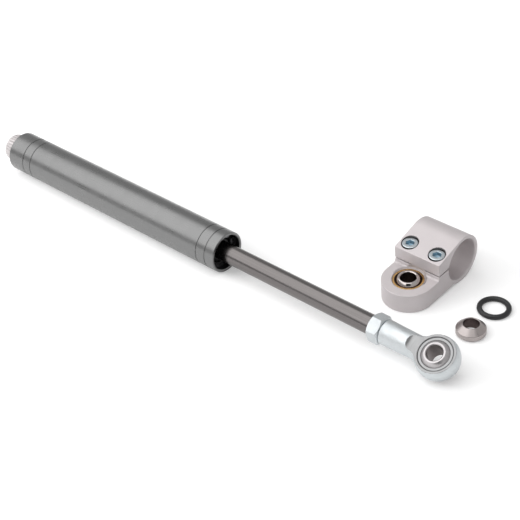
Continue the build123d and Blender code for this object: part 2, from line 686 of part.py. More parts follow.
def adjuster_knob():
    """Knob outside the tube, fluted for the fingers, with a hub that carries the detent dimples."""
    outer = KNOB_D / 2
    bore = SPINDLE_D / 2 + SEAT_GAP
    knob = turned(
        (KNOB_OUTER_X, 0), (KNOB_OUTER_X, outer), (KNOB_INNER_X, outer),
        (KNOB_INNER_X, KNOB_HUB_D / 2), (HUB_FACE_X, KNOB_HUB_D / 2), (HUB_FACE_X, 0),
    )
    for n in range(FLUTE_COUNT):
        turn = Rot(360 / FLUTE_COUNT * n, 0, 0)
        depth = outer + FLUTE_D / 2 - FLUTE_DEPTH
        knob -= turn * Pos(0, 0, depth) * bar(KNOB_OUTER_X - PAST, KNOB_INNER_X - KNOB_ROUNDING, FLUTE_D / 2)
    rounding = turned(
        (KNOB_OUTER_X, outer - KNOB_ROUNDING), (KNOB_OUTER_X + KNOB_ROUNDING, outer),
        (KNOB_OUTER_X + KNOB_ROUNDING, outer + PAST), (KNOB_OUTER_X - PAST, outer + PAST),
        (KNOB_OUTER_X - PAST, outer - KNOB_ROUNDING),
    )
    knob -= rounding
    knob -= bar(KNOB_WEB_X, HUB_FACE_X + PAST, bore) - spindle_flat(SEAT_GAP)
    knob -= bar(KNOB_OUTER_X - PAST, KNOB_WEB_X + PAST, KNOB_SCREW_D / 2 + SEAT_GAP)
    knob -= bar(
        KNOB_OUTER_X - PAST, KNOB_OUTER_X + KNOB_SCREW_HEAD_HEIGHT, KNOB_SCREW_HEAD_D / 2 + KNOB_SCREW_HEAD_GAP
    )
    dimple_x = HUB_FACE_X + DETENT_D / 2 - DETENT_DEPTH
    for n in range(DETENT_COUNT):
        turn = Rot(360 / DETENT_COUNT * n, 0, 0)
        knob -= turn * Pos(dimple_x, 0, DETENT_PITCH_R) * Sphere(DETENT_D / 2)
    return knob


def knob_screw():
    """Socket screw that holds the knob on the spindle."""
    head_end = KNOB_OUTER_X + KNOB_SCREW_HEAD_HEIGHT
    screw = bar(KNOB_OUTER_X, head_end, KNOB_SCREW_HEAD_D / 2)
    screw += bar(head_end, head_end + KNOB_SCREW_LENGTH, KNOB_SCREW_D / 2 - SEAT_GAP)
    return screw - hex_prism(KNOB_OUTER_X - PAST, KNOB_OUTER_X + KNOB_SCREW_SOCKET_DEPTH, KNOB_SCREW_FLATS, 0)


def detent_ball():
    """Ball that clicks into the knob's dimples, drawn level with the hub's face."""
    return detent_place() * Pos(HUB_FACE_X + DETENT_GAP + DETENT_D / 2, 0, 0) * Sphere(DETENT_D / 2)


def detent_spring():
    """Coil spring behind the detent ball."""
    start = HUB_FACE_X + DETENT_GAP + DETENT_D + SPRING_WIRE_D / 2
    end = CAP_FACE_X + DETENT_HOLE_DEPTH - SPRING_WIRE_D / 2
    length = end - start
    radius = DETENT_D / 2 - SPRING_WIRE_D / 2
    coil = Helix(length / SPRING_TURNS, length, radius)
    section = Plane(origin=coil @ 0, z_dir=coil % 0) * Circle(SPRING_WIRE_D / 2)
    wire = sweep(section, path=coil, is_frenet=True)
    return detent_place() * Pos(start, 0, 0) * Rot(0, 90, 0) * wire


def clamp_tilt():
    """Angle at which the clamp's ring and the front of its ear both touch the table."""
    reach = EAR_REACH + CLAMP_WIDTH / 2 - CLAMP_EDGE
    depth = -EAR_BOTTOM
    span = math.hypot(reach, depth)
    return math.degrees(math.asin(CLAMP_RING_R / span) - math.atan2(depth, reach))


def in_clamp(shape):
    """Moves a shape from the clamp's own frame to the clamp's place on the table."""
    return Pos(CLAMP_X, CLAMP_Y, TABLE_Z + CLAMP_RING_R) * Rot(clamp_tilt(), 0, 0) * shape


def clamp_section():
    """Side outline of the ring and of the jaws in front of it."""
    front = -CLAMP_FRONT
    span = math.hypot(CLAMP_FRONT, CLAMP_FRONT_TOP)
    angle = math.atan2(CLAMP_FRONT_TOP, front) - math.acos(CLAMP_RING_R / span)
    tangent = (CLAMP_RING_R * math.cos(angle), CLAMP_RING_R * math.sin(angle))
    jaws = make_face(Polyline(
        tangent, (front, CLAMP_FRONT_TOP), (front, EAR_TOP - PAST), (0, EAR_TOP - PAST), close=True
    ))
    return Circle(CLAMP_RING_R) + jaws


def screw_places():
    """Places of the two clamp screws."""
    y = -CLAMP_FRONT + SCREW_INSET
    return [Pos(side * SCREW_SPACING / 2, y, 0) for side in (-1, 1)]


def along_z(z0, z1, radius):
    """Upright round bar."""
    return Pos(0, 0, (z0 + z1) / 2) * Cylinder(radius, z1 - z0)


def ear_fillet():
    """Hollow fillet between the front of the jaws and the top of the ear."""
    front = -CLAMP_FRONT
    corner = Pos(0, front - EAR_FILLET / 2, EAR_TOP + EAR_FILLET / 2)
    axis = Pos(0, front - EAR_FILLET, EAR_TOP + EAR_FILLET) * Rot(0, 90, 0)
    fillet = corner * Box(CLAMP_WIDTH, EAR_FILLET, EAR_FILLET)
    return fillet - axis * Cylinder(EAR_FILLET, CLAMP_WIDTH + 2 * PAST)


def clamp_body():
    """One-piece pinch clamp: ring for the damper tube, slit jaws and an ear for the bearing."""
    half = CLAMP_WIDTH / 2
    section = Plane.YZ * clamp_section()
    body = extrude(section, amount=half, both=True)
    lug = Pos(0, -EAR_REACH, 0) * Circle(half)
    bridge = Pos(0, -EAR_REACH / 2, 0) * Rectangle(CLAMP_WIDTH, EAR_REACH)
    ear = Pos(0, 0, EAR_BOTTOM) * extrude(lug + bridge, amount=EAR_THICKNESS)
    rims = ear.edges().filter_by(GeomType.CIRCLE)
    ear = chamfer(rims, CLAMP_EDGE)
    body += ear
    body += ear_fillet()
    body -= Rot(0, 90, 0) * Cylinder(CLAMP_BORE_R, CLAMP_WIDTH + 2 * PAST)
    for side in (-1, 1):
        body -= bore_edge(side)
    slit = Box(CLAMP_WIDTH + 2 * PAST, CLAMP_FRONT, SLIT_WIDTH)
    body -= Pos(0, -CLAMP_FRONT / 2 - CLAMP_BORE_R / 2, SLIT_MIDDLE) * slit
    for place in screw_places():
        body -= place * along_z(SCREW_SEAT, CLAMP_RING_R, SCREW_HEAD_D / 2 + SCREW_HEAD_GAP)
        body -= place * along_z(SLIT_MIDDLE, SCREW_SEAT + PAST, SCREW_D / 2 + SCREW_HOLE_GAP)
        body -= place * along_z(
            SCREW_SEAT - SCREW_LENGTH - TAPPED_SPARE, SLIT_MIDDLE, SCREW_D / 2 + SEAT_GAP
        )
    seat_z = BEARING_Z - BEARING_RACE_WIDTH / 2
    ear_place = Pos(0, -EAR_REACH, 0)
    body -= ear_place * along_z(EAR_TOP, SLIT_MIDDLE, SPOT_FACE_D / 2)
    body -= ear_place * along_z(seat_z, SLIT_MIDDLE, BEARING_RACE_D / 2)
    body -= ear_place * along_z(EAR_BOTTOM - PAST, seat_z + PAST, BEARING_RELIEF_D / 2)
    return in_clamp(body)


def bore_edge(side):
    """Chamfer ring at one end of the clamp's bore."""
    end = side * CLAMP_WIDTH / 2
    start = end - side * CLAMP_EDGE
    return turned(
        (start, CLAMP_BORE_R - PAST), (start, CLAMP_BORE_R), (end, CLAMP_BORE_R + CLAMP_EDGE),
        (end, CLAMP_BORE_R - PAST),
    )


def clamp_screws():
    """Two low-head socket screws, drawn home."""
    screws = []
    for place in screw_places():
        top = SCREW_SEAT + SCREW_HEAD_HEIGHT
        screw = along_z(SCREW_SEAT, top, SCREW_HEAD_D / 2)
        rim = screw.edges().filter_by(GeomType.CIRCLE).sort_by(Axis.Z)[-1]
        screw = chamfer(rim, CLAMP_EDGE)
        screw += along_z(SCREW_SEAT - SCREW_LENGTH, SCREW_SEAT, SCREW_D / 2)
        socket = RegularPolygon(SCREW_SOCKET_FLATS / 2, 6, major_radius=False)
        screw -= Pos(0, 0, top - SCREW_SOCKET_DEPTH) * extrude(socket, amount=SCREW_SOCKET_DEPTH + PAST)
        screws.append(in_clamp(place * screw))
    return Compound(children=screws)


def in_bearing(shape):
    """Moves a shape from the ear bearing's own frame to its place."""
    return in_clamp(Pos(0, -EAR_REACH, BEARING_Z) * shape)


def clamp_bearing_race():
    """Bronze race pressed into the ear."""
    return in_bearing(
        race_shape(BEARING_RACE_D, BEARING_RACE_WIDTH, BEARING_BALL_D, CLAMP_EDGE)
    )


def clamp_bearing_ball():
    """Chromed ball, bored for the frame bolt."""
    return in_bearing(ball_shape(BEARING_BALL_D, BEARING_BALL_WIDTH, BEARING_BORE_D))


def conical_spacer():
    """Spacer that goes under the rod end, coned so that the ball can tilt on it."""
    bore_r = SPACER_BORE_D / 2
    outer = SPACER_D / 2
    edge = SPACER_BASE_CHAMFER
    ring = spun(
        (bore_r, 0), (outer - edge, 0), (outer, edge), (outer, SPACER_BAND_TOP),
        (bore_r + SPACER_TOP_LAND, SPACER_HEIGHT), (bore_r, SPACER_HEIGHT),
    )
    return Pos(SPACER_X, SPACER_Y, TABLE_Z) * ring


def loose_o_ring():
    """Rubber ring that goes round the tube or rod as a travel marker."""
    cord_r = O_RING_CORD_D / 2
    return Pos(O_RING_X, O_RING_Y, TABLE_Z + cord_r) * Torus(O_RING_MEAN_D / 2, cord_r)


NODES = {
    "cylinder_tube": cylinder_tube,
    "working_tube": working_tube,
    "foam_sleeve": foam_sleeve,
    "rod_guide": rod_guide,
    "guide_bush": guide_bush,
    "rod_seal": rod_seal,
    "rod_wiper": rod_wiper,
    "guide_o_ring": guide_o_ring,
    "front_circlip": front_circlip,
    "rear_circlip": rear_circlip,
    "piston_rod": piston_rod,
    "piston": piston,
    "piston_ring": piston_ring,
    "piston_shims": piston_shims,
    "piston_nut": piston_nut,
    "top_out_bumper": top_out_bumper,
    "lock_nut": lock_nut,
    "rod_end_housing": rod_end_housing,
    "rod_end_race": rod_end_race,
    "rod_end_ball": rod_end_ball,
    "rear_cap": rear_cap,
    "rear_cap_o_ring": rear_cap_o_ring,
    "valve_body": valve_body,
    "valve_body_o_ring": valve_body_o_ring,
    "adjuster_needle": adjuster_needle,
    "needle_o_ring": needle_o_ring,
    "adjuster_spindle": adjuster_spindle,
    "spindle_o_ring": spindle_o_ring,
    "adjuster_knob": adjuster_knob,
    "knob_screw": knob_screw,
    "detent_ball": detent_ball,
    "detent_spring": detent_spring,
    "clamp_body": clamp_body,
    "clamp_screws": clamp_screws,
    "clamp_bearing_race": clamp_bearing_race,
    "clamp_bearing_ball": clamp_bearing_ball,
    "conical_spacer": conical_spacer,
    "loose_o_ring": loose_o_ring,
}

os.makedirs("parts", exist_ok=True)
for node, build in NODES.items():
    export_step(build(), f"parts/{node}.step")
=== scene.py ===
import json
import math
import bmesh
import bpy
import numpy as np
from mathutils import Matrix, Vector


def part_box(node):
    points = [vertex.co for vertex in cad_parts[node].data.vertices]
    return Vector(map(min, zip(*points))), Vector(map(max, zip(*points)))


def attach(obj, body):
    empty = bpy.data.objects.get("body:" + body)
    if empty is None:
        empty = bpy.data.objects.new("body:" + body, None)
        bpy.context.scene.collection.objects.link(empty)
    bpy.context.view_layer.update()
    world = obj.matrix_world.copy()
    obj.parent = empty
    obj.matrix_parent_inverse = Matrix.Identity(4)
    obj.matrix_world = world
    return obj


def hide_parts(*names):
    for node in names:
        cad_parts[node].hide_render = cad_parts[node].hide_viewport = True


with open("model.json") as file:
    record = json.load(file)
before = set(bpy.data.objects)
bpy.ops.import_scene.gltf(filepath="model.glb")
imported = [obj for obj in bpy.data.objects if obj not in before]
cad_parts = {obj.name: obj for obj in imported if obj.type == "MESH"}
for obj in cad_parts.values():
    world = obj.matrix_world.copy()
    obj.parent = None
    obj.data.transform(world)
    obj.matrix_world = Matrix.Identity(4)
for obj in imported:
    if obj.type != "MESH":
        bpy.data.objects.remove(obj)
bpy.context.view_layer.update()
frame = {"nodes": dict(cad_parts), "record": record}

# Table, light and camera.
# The set lies on a white studio table under one broad soft lamp, with a weaker one on the left for
# the shadows. The camera looks down on the rod end from in front, at the photograph's angle.

TABLE_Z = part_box("cylinder_tube")[0].z
CAMERA_PLACE = Vector((0.47187, -0.38575, 0.40864))
CAMERA_TARGET = Vector((0.0868, 0.0161, -0.011))
CAMERA_ROLL = math.radians(-3.612)
CAMERA_LENS = 93.17
LAMP_PLACE = Vector((-0.06, -0.26, 0.58))
LAMP_TARGET = Vector((0.05, 0.0, 0.0))
LAMP_SIZE = (1.5, 1.25)
LAMP_RADIANCE = 1.14
SIDE_PLACE = Vector((-0.9, -1.0, 0.72))
SIDE_SIZE = 1.0
SIDE_RADIANCE = 3.6
DARK_DISTANCE = 0.45
DARK_SIZE = (0.34, 0.5)
FLOOR_SIZE = 6.0
FLOOR_ALBEDO = 0.84
FLOOR_LIFT = 0.19
LIT_RANGE = (0.4, 1.2)
WORLD_FILL = 0.5


def new_shader(name):
    """Empty node material with its Principled shader, its node list and its link maker."""
    material = bpy.data.materials.new(name)
    material.use_nodes = True
    nodes = material.node_tree.nodes
    shader = nodes["Principled BSDF"]
    return material, shader, nodes, material.node_tree.links


def seen_directly(nodes, links, low, high):
    """The high value for rays that come straight from the camera, else the low one."""
    path = nodes.new("ShaderNodeLightPath")
    choice = nodes.new("ShaderNodeMapRange")
    choice.inputs["To Min"].default_value = low
    choice.inputs["To Max"].default_value = high
    links.new(path.outputs["Is Camera Ray"], choice.inputs["Value"])
    return choice.outputs["Result"]


def light_world():
    """White surroundings for the camera, and a weaker fill for all other rays."""
    world = bpy.data.worlds.new("studio")
    bpy.context.scene.world = world
    world.use_nodes = True
    nodes, links = world.node_tree.nodes, world.node_tree.links
    background = nodes["Background"]
    background.inputs["Color"].default_value = (1, 1, 1, 1)
    links.new(seen_directly(nodes, links, WORLD_FILL, 1.0), background.inputs["Strength"])


def lay_table():
    """Wide flat table at the height that the tube rests on, white where no shadow falls.

    The lamps light its middle. Farther out its own glow, which only the camera sees, takes over.
    """
    mesh = bpy.data.meshes.new("table")
    half = FLOOR_SIZE / 2
    signs = [(-1, -1), (1, -1), (1, 1), (-1, 1)]
    corners = [(x * half, y * half, TABLE_Z) for x, y in signs]
    mesh.from_pydata(corners, [], [(0, 1, 2, 3)])
    table = bpy.data.objects.new("table", mesh)
    bpy.context.scene.collection.objects.link(table)
    material, shader, nodes, links = new_shader("table_white")
    shader.inputs["Base Color"].default_value = (FLOOR_ALBEDO, FLOOR_ALBEDO, FLOOR_ALBEDO, 1)
    shader.inputs["Roughness"].default_value = 0.9
    shader.inputs["Specular IOR Level"].default_value = 0.0
    shader.inputs["Emission Color"].default_value = (1, 1, 1, 1)
    distance = nodes.new("ShaderNodeVectorMath")
    distance.operation = "LENGTH"
    links.new(nodes.new("ShaderNodeTexCoord").outputs["Object"], distance.inputs[0])
    lift = nodes.new("ShaderNodeMapRange")
    lift.inputs["From Min"].default_value, lift.inputs["From Max"].default_value = LIT_RANGE
    lift.inputs["To Min"].default_value = FLOOR_LIFT
    lift.inputs["To Max"].default_value = 1.0
    links.new(distance.outputs["Value"], lift.inputs["Value"])
    glow = nodes.new("ShaderNodeMath")
    glow.operation = "MULTIPLY"
    links.new(lift.outputs["Result"], glow.inputs[0])
    links.new(seen_directly(nodes, links, 0.0, 1.0), glow.inputs[1])
    links.new(glow.outputs["Value"], shader.inputs["Emission Strength"])
    mesh.materials.append(material)


def hang_lamp(name, place, target, size, radiance):
    """Soft rectangular lamp at a place, facing its target."""
    lamp = bpy.data.lights.new(name, "AREA")
    lamp.shape = "RECTANGLE"
    lamp.size, lamp.size_y = size
    lamp.energy = radiance * math.pi * size[0] * size[1]
    holder = bpy.data.objects.new(name, lamp)
    tilt = (target - place).to_track_quat("-Z", "Y").to_matrix().to_4x4()
    holder.matrix_world = Matrix.Translation(place) @ tilt
    bpy.context.scene.collection.objects.link(holder)
    return holder


def stand_dark_card():
    """Dark upright card before the camera, as the unlit room behind it, seen in reflections only."""
    level = (CAMERA_PLACE - CAMERA_TARGET) * Vector((1, 1, 0))
    level.normalize()
    side = Vector((-level.y, level.x, 0)) * DARK_SIZE[0] / 2
    foot = CAMERA_TARGET + level * DARK_DISTANCE
    foot.z = TABLE_Z
    rise = Vector((0, 0, DARK_SIZE[1]))
    mesh = bpy.data.meshes.new("dark_card")
    corners = [foot - side, foot + side, foot + side + rise, foot - side + rise]
    mesh.from_pydata(corners, [], [(0, 1, 2, 3)])
    card = bpy.data.objects.new("dark_card", mesh)
    bpy.context.scene.collection.objects.link(card)
    material, shader, nodes, links = new_shader("dark_room")
    shader.inputs["Base Color"].default_value = (0.02, 0.02, 0.02, 1)
    shader.inputs["Specular IOR Level"].default_value = 0.0
    mesh.materials.append(material)
    card.visible_camera = False
    card.visible_diffuse = False
    card.visible_shadow = False


def set_camera():
    """Camera at its place, aimed at its target and turned about its own axis by the roll."""
    camera = bpy.data.objects.new("camera", bpy.data.cameras.new("camera"))
    bpy.context.scene.collection.objects.link(camera)
    camera.data.lens = CAMERA_LENS
    camera.data.clip_start = 0.01
    forward = (CAMERA_TARGET - CAMERA_PLACE).normalized()
    level = forward.to_track_quat("-Z", "Y").to_matrix()
    camera.matrix_world = (
        Matrix.Translation(CAMERA_PLACE) @ (level @ Matrix.Rotation(CAMERA_ROLL, 3, "Z")).to_4x4()
    )
    bpy.context.scene.camera = camera


light_world()
lay_table()
hang_lamp("overhead", LAMP_PLACE, LAMP_TARGET, LAMP_SIZE, LAMP_RADIANCE)
side_lamp = hang_lamp("from_the_left", SIDE_PLACE, LAMP_TARGET, (SIDE_SIZE, SIDE_SIZE), SIDE_RADIANCE)
side_lamp.visible_glossy = False
stand_dark_card()
set_camera()
bpy.context.scene.view_settings.view_transform = "Standard"

# Cylinder tube.
# The real piece is a drawn metal tube in titanium grey, faced and chamfered at both ends, with two
# fine lines turned near each end. It is brushed lengthwise, and its bore is coloured near black.

mm = 0.001
TUBE_BORE = 19.0
TUBE_CHAMFER = 0.35
LINE_WIDTH = 0.5
LINE_DEPTH = 0.3
LINE_PLACES = (-67.7, -61.7, 67.5, 73.5)
CIRCLIP_PLACES = (-77.5, 75.5)
CIRCLIP_HALF_WIDTH = 0.55
CIRCLIP_GROOVE_DEPTH = 0.7
BURR = 0.06
TUBE_GREY = (0.25, 0.25, 0.25)
TUBE_BORE_NEAR_BLACK = (0.03, 0.03, 0.031)
DRAWN_MARKS = (6.0, 40.0, 60.0)
CLOUD_SCALE = 160.0
NOISE_RANGE = (0.3, 0.7)
# How far a face's centre may lie from its nominal surface and still belong to it
FACE_SLACK = 0.05

slots = {part["node"]: part["material_slot"] for part in frame["record"]["subparts"]}
mounts = {mount["name"]: mount for mount in frame["record"]["mounts"]}


def eased(corners, steps=5):
    """Closed outline of corners (a, r, e) in which each one becomes an arc of radius e.

    The arc leaves the two sides at e / tan(h), h being half of the corner's angle, and its points
    are turned evenly about its centre. A corner with e = 0 stays a point.
    """
    corners = np.asarray(corners, dtype=float)
    point = corners[..., :2]
    ease = corners[..., 2:]
    before = np.roll(point, 1, axis=-2) - point
    after = np.roll(point, -1, axis=-2) - point
    before /= np.linalg.norm(before, axis=-1, keepdims=True)
    after /= np.linalg.norm(after, axis=-1, keepdims=True)
    half = np.arccos(np.clip((before * after).sum(-1, keepdims=True), -1.0, 1.0)) / 2
    sweep = (np.pi - 2 * half)[..., None, :]
    inward = before + after
    inward /= np.maximum(np.linalg.norm(inward, axis=-1, keepdims=True), 1e-9)
    centre = point + inward * ease / np.sin(half)
    start = (point + before * ease / np.tan(half) - centre)[..., None, :]
    end = (point + after * ease / np.tan(half) - centre)[..., None, :]
    t = np.linspace(0, 1, steps)[:, None]
    turn = (start * np.sin((1 - t) * sweep) + end * np.sin(t * sweep)) / np.maximum(np.sin(sweep), 1e-9)
    arcs = (centre[..., None, :] + turn).reshape(*corners.shape[:-2], -1, 2)
    first = np.arange(steps) == 0
    radii = ease.reshape(-1, corners.shape[-2])[0]
    kept = (radii[:, None] > 0) | first
    return arcs[..., kept.ravel(), :]


def new_solid(name, points, faces):
    """Mesh of points in millimetres, its seams welded and its faces turned outwards."""
    mesh = bpy.data.meshes.new(name)
    mesh.from_pydata((np.asarray(points) * mm).tolist(), [], faces)
    work = bmesh.new()
    work.from_mesh(mesh)
    bmesh.ops.remove_doubles(work, verts=work.verts, dist=0.0005 * mm)
    bmesh.ops.recalc_face_normals(work, faces=work.faces)
    work.to_mesh(mesh)
    work.free()
    mesh.shade_smooth()
    return mesh


def placed(points, place):
    """Points in millimetres taken from a place's own frame to the row frame: x' = R x + t."""
    place = np.array(place)
    return points @ place[:3, :3].T + place[:3, 3] / mm


def turned(name, outline, place, count=192):
    """Surface of revolution: P(i, j) = place (a_j, r_j cos t_i, r_j sin t_i), t_i even round a circle.

    The outline is closed, and may be one for all angles or one for each.
    """
    t = np.arange(count)[:, None] * 2 * np.pi / count
    outline = np.broadcast_to(outline, (count,) + outline.shape[-2:])
    along, radius = outline[..., 0], outline[..., 1]
    points = np.stack([along, radius * np.cos(t), radius * np.sin(t)], axis=-1).reshape(-1, 3)
    columns = outline.shape[1]
    i, j = np.meshgrid(np.arange(count), np.arange(columns), indexing="ij")
    down, right = (i + 1) % count, (j + 1) % columns
    quads = (i * columns + j, down * columns + j, down * columns + right, i * columns + right)
    return new_solid(name, placed(points, place), np.stack(quads, axis=-1).reshape(-1, 4).tolist())


def show(name, mesh, body, nodes, material, evened=True):
    """Object of the mesh that rides on the body and stands for the CAD nodes, in their finish."""
    piece = bpy.data.objects.new(name, mesh)
    bpy.context.scene.collection.objects.link(piece)
    mesh.materials.clear()
    mesh.materials.append(material)
    if evened:
        even = piece.modifiers.new("even_normals", "WEIGHTED_NORMAL")
        even.keep_sharp = True
    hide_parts(*nodes)
    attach(piece, body)
    return piece


def refinished(piece, place, rule, material):
    """Give the faces for whose centres the rule (x, r) holds another finish.

    x is the distance in millimetres along the place's X axis and r the distance from that axis.
    """
    mesh = piece.data
    centres = np.empty(len(mesh.polygons) * 3)
    mesh.polygons.foreach_get("center", centres)
    into = np.array(place.inverted())
    local = (centres.reshape(-1, 3) @ into[:3, :3].T + into[:3, 3]) / mm
    chosen = rule(local[:, 0], np.hypot(local[:, 1], local[:, 2]))
    index = np.zeros(len(mesh.polygons), dtype=np.int32)
    mesh.polygons.foreach_get("material_index", index)
    index[chosen] = len(mesh.materials)
    mesh.materials.append(material)
    mesh.polygons.foreach_set("material_index", index)


def ring_groove(place, half_width, radius, floor, ease):
    """Four corners of a square groove in a turned outline."""
    return [
        (place - half_width, radius, ease), (place - half_width, floor, ease),
        (place + half_width, floor, ease), (place + half_width, radius, ease),
    ]


def work_coordinates(nodes, links, place, along, across, around):
    """Texture coordinates (a k1 + r k2, k3 cos t, k3 sin t) of a piece worked round the place's X axis.

    A large k1 or k2 gives turned rings, and a large k3 gives streaks along the piece.
    """
    source = nodes.new("ShaderNodeTexCoord")
    mapping = nodes.new("ShaderNodeMapping")
    mapping.vector_type = "TEXTURE"
    mapping.inputs["Location"].default_value = place.to_translation()
    mapping.inputs["Rotation"].default_value = place.to_euler()
    links.new(source.outputs["Object"], mapping.inputs["Vector"])
    radial = nodes.new("ShaderNodeVectorMath")
    radial.operation = "MULTIPLY"
    radial.inputs[1].default_value = (0, 1, 1)
    links.new(mapping.outputs["Vector"], radial.inputs[0])
    length = nodes.new("ShaderNodeVectorMath")
    length.operation = "LENGTH"
    links.new(radial.outputs["Vector"], length.inputs[0])
    direction = nodes.new("ShaderNodeVectorMath")
    direction.operation = "NORMALIZE"
    links.new(radial.outputs["Vector"], direction.inputs[0])
    ring = nodes.new("ShaderNodeVectorMath")
    ring.operation = "SCALE"
    ring.inputs["Scale"].default_value = around
    links.new(direction.outputs["Vector"], ring.inputs[0])
    split = nodes.new("ShaderNodeSeparateXYZ")
    links.new(mapping.outputs["Vector"], split.inputs["Vector"])
    depth = nodes.new("ShaderNodeMath")
    depth.operation = "MULTIPLY"
    depth.inputs[1].default_value = across
    links.new(length.outputs["Value"], depth.inputs[0])
    travel = nodes.new("ShaderNodeMath")
    travel.operation = "MULTIPLY_ADD"
    travel.inputs[1].default_value = along
    links.new(split.outputs["X"], travel.inputs[0])
    links.new(depth.outputs["Value"], travel.inputs[2])
    joined = nodes.new("ShaderNodeCombineXYZ")
    links.new(travel.outputs["Value"], joined.inputs["X"])
    total = nodes.new("ShaderNodeVectorMath")
    total.operation = "ADD"
    links.new(ring.outputs["Vector"], total.inputs[0])
    links.new(joined.outputs["Vector"], total.inputs[1])
    return total.outputs["Vector"]


def noise(nodes, links, vector, scale, detail=3.0):
    """Value of a noise texture at the vector, or at the object's own coordinates if it is None."""
    texture = nodes.new("ShaderNodeTexNoise")
    texture.inputs["Scale"].default_value = scale
    texture.inputs["Detail"].default_value = detail
    if vector is None:
        vector = nodes.new("ShaderNodeTexCoord").outputs["Object"]
    links.new(vector, texture.inputs["Vector"])
    return texture.outputs["Fac"]


def spread(nodes, links, value, low, high):
    """The noise value, which keeps near its middle, stretched over low to high."""
    fit = nodes.new("ShaderNodeMapRange")
    fit.inputs["From Min"].default_value, fit.inputs["From Max"].default_value = NOISE_RANGE
    fit.inputs["To Min"].default_value = low
    fit.inputs["To Max"].default_value = high
    links.new(value, fit.inputs["Value"])
    return fit.outputs["Result"]


def tinted(nodes, links, colour, shade):
    """The colour times a shade that is given as a socket."""
    product = nodes.new("ShaderNodeVectorMath")
    product.operation = "SCALE"
    product.inputs[0].default_value = colour
    links.new(shade, product.inputs["Scale"])
    return product.outputs["Vector"]


def raised(nodes, links, shader, height, depth):
    """Bump of the height, which the socket gives as 0 to 1, as deep as depth in millimetres."""
    bump = nodes.new("ShaderNodeBump")
    bump.inputs["Distance"].default_value = depth * mm
    links.new(height, bump.inputs["Height"])
    links.new(bump.outputs["Normal"], shader.inputs["Normal"])


def worked_metal(name, colour, roughness, place, marks, shade=0.05, depth=0.004, cloud=0.15):
    """Bare or plated metal with tool marks round the place's X axis and faint clouding."""
    material, shader, nodes, links = new_shader(name)
    vector = work_coordinates(nodes, links, place, *marks)
    lines = noise(nodes, links, vector, 1.0)
    clouds = noise(nodes, links, None, CLOUD_SCALE)
    rough = nodes.new("ShaderNodeMath")
    rough.operation = "ADD"
    links.new(spread(nodes, links, lines, roughness * 0.85, roughness * 1.1), rough.inputs[0])
    links.new(spread(nodes, links, clouds, -roughness * cloud, roughness * cloud), rough.inputs[1])
    links.new(rough.outputs["Value"], shader.inputs["Roughness"])
    shader.inputs["Metallic"].default_value = 1.0
    tint = tinted(nodes, links, colour, spread(nodes, links, lines, 1 - shade, 1 + shade))
    links.new(tint, shader.inputs["Base Color"])
    raised(nodes, links, shader, lines, depth)
    return material


def tube_outline():
    """Outline of the tube: grooved skin, chamfered ends and a bore with its two circlip grooves."""
    low, high = (corner.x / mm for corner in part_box("cylinder_tube"))
    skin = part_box("cylinder_tube")[1].z / mm
    bore = TUBE_BORE / 2
    edge = TUBE_CHAMFER
    outline = [(low, skin - edge, BURR), (low + edge, skin, BURR)]
    for place in LINE_PLACES:
        outline += ring_groove(place, LINE_WIDTH / 2, skin, skin - LINE_DEPTH, BURR)
    outline += [(high - edge, skin, BURR), (high, skin - edge, BURR)]
    outline += [(high, bore + edge, BURR), (high - edge, bore, BURR)]
    floor = bore + CIRCLIP_GROOVE_DEPTH
    for place in reversed(CIRCLIP_PLACES):
        outline += ring_groove(place, CIRCLIP_HALF_WIDTH, bore, floor, BURR)[::-1]
    return eased(outline + [(low + edge, bore, BURR), (low, bore + edge, BURR)])


damper_place = Matrix.Identity(4)
tube_finish = worked_metal(
    "titanium_tube", TUBE_GREY, 0.31, damper_place, DRAWN_MARKS, shade=0.02, depth=0.0005
)
tube_mesh = turned("tube_shell", tube_outline(), damper_place, 256)
tube = show("tube_shell", tube_mesh, "damper_body", ["cylinder_tube"], tube_finish)
# The bore and its circlip grooves are coloured near black.
near_black_bore_finish = worked_metal("near_black_tube_bore", TUBE_BORE_NEAR_BLACK, 0.4, damper_place, DRAWN_MARKS)
tube_low, tube_high = (corner.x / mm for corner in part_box("cylinder_tube"))
groove_reach = TUBE_BORE / 2 + CIRCLIP_GROOVE_DEPTH + FACE_SLACK


def in_tube_bore(x, r):
    """Whether a face lies in the tube's bore or a circlip groove, and not on its end or chamfer."""
    return (r < groove_reach) & (x > tube_low + TUBE_CHAMFER) & (x < tube_high - TUBE_CHAMFER)


refinished(tube, damper_place, in_tube_bore, near_black_bore_finish)

# Rod guide, wiper and circlips.
# The guide is a black anodised gland that sits in the mouth of the tube behind a circlip of dark
# spring steel. A moulded rubber wiper with a lip closes the gap to the rod.

GUIDE_FACE = 75.0
GUIDE_GAP = 0.08
NOSE_LENGTH = 3.0
NOSE_RADIUS = 6.68
BUSH_WALL = 1.2
ROD_RADIUS = 5.0
WIPER_WALL = 2.4
WIPER_DEPTH = 4.5
WIPER_GAP = 0.04
SEAT_GAP = 0.02
LIP_HEIGHT = 1.5
LIP_WALL = 0.7
GUIDE_BLACK = (0.012, 0.012, 0.013)
RUBBER_BLACK = (0.014, 0.014, 0.015)
CIRCLIP_STEEL = (0.16, 0.16, 0.17)
MOULD_FINE = 2500.0
MOULD_BROAD = 220.0
ANODISED_MARKS = (4000.0, 4000.0, 2.0)
ROLLED_MARKS = (300.0, 900.0, 3.0)


def moulded_rubber(name, colour, roughness):
    """Rubber straight from its mould: dull, faintly dusty and a little uneven."""
    material, shader, nodes, links = new_shader(name)
    fine = noise(nodes, links, None, MOULD_FINE)
    broad = noise(nodes, links, None, MOULD_BROAD)
    rough = spread(nodes, links, broad, roughness - 0.08, roughness + 0.08)
    links.new(rough, shader.inputs["Roughness"])
    tint = tinted(nodes, links, colour, spread(nodes, links, broad, 0.8, 1.3))
    links.new(tint, shader.inputs["Base Color"])
    raised(nodes, links, shader, fine, 0.01)
    return material


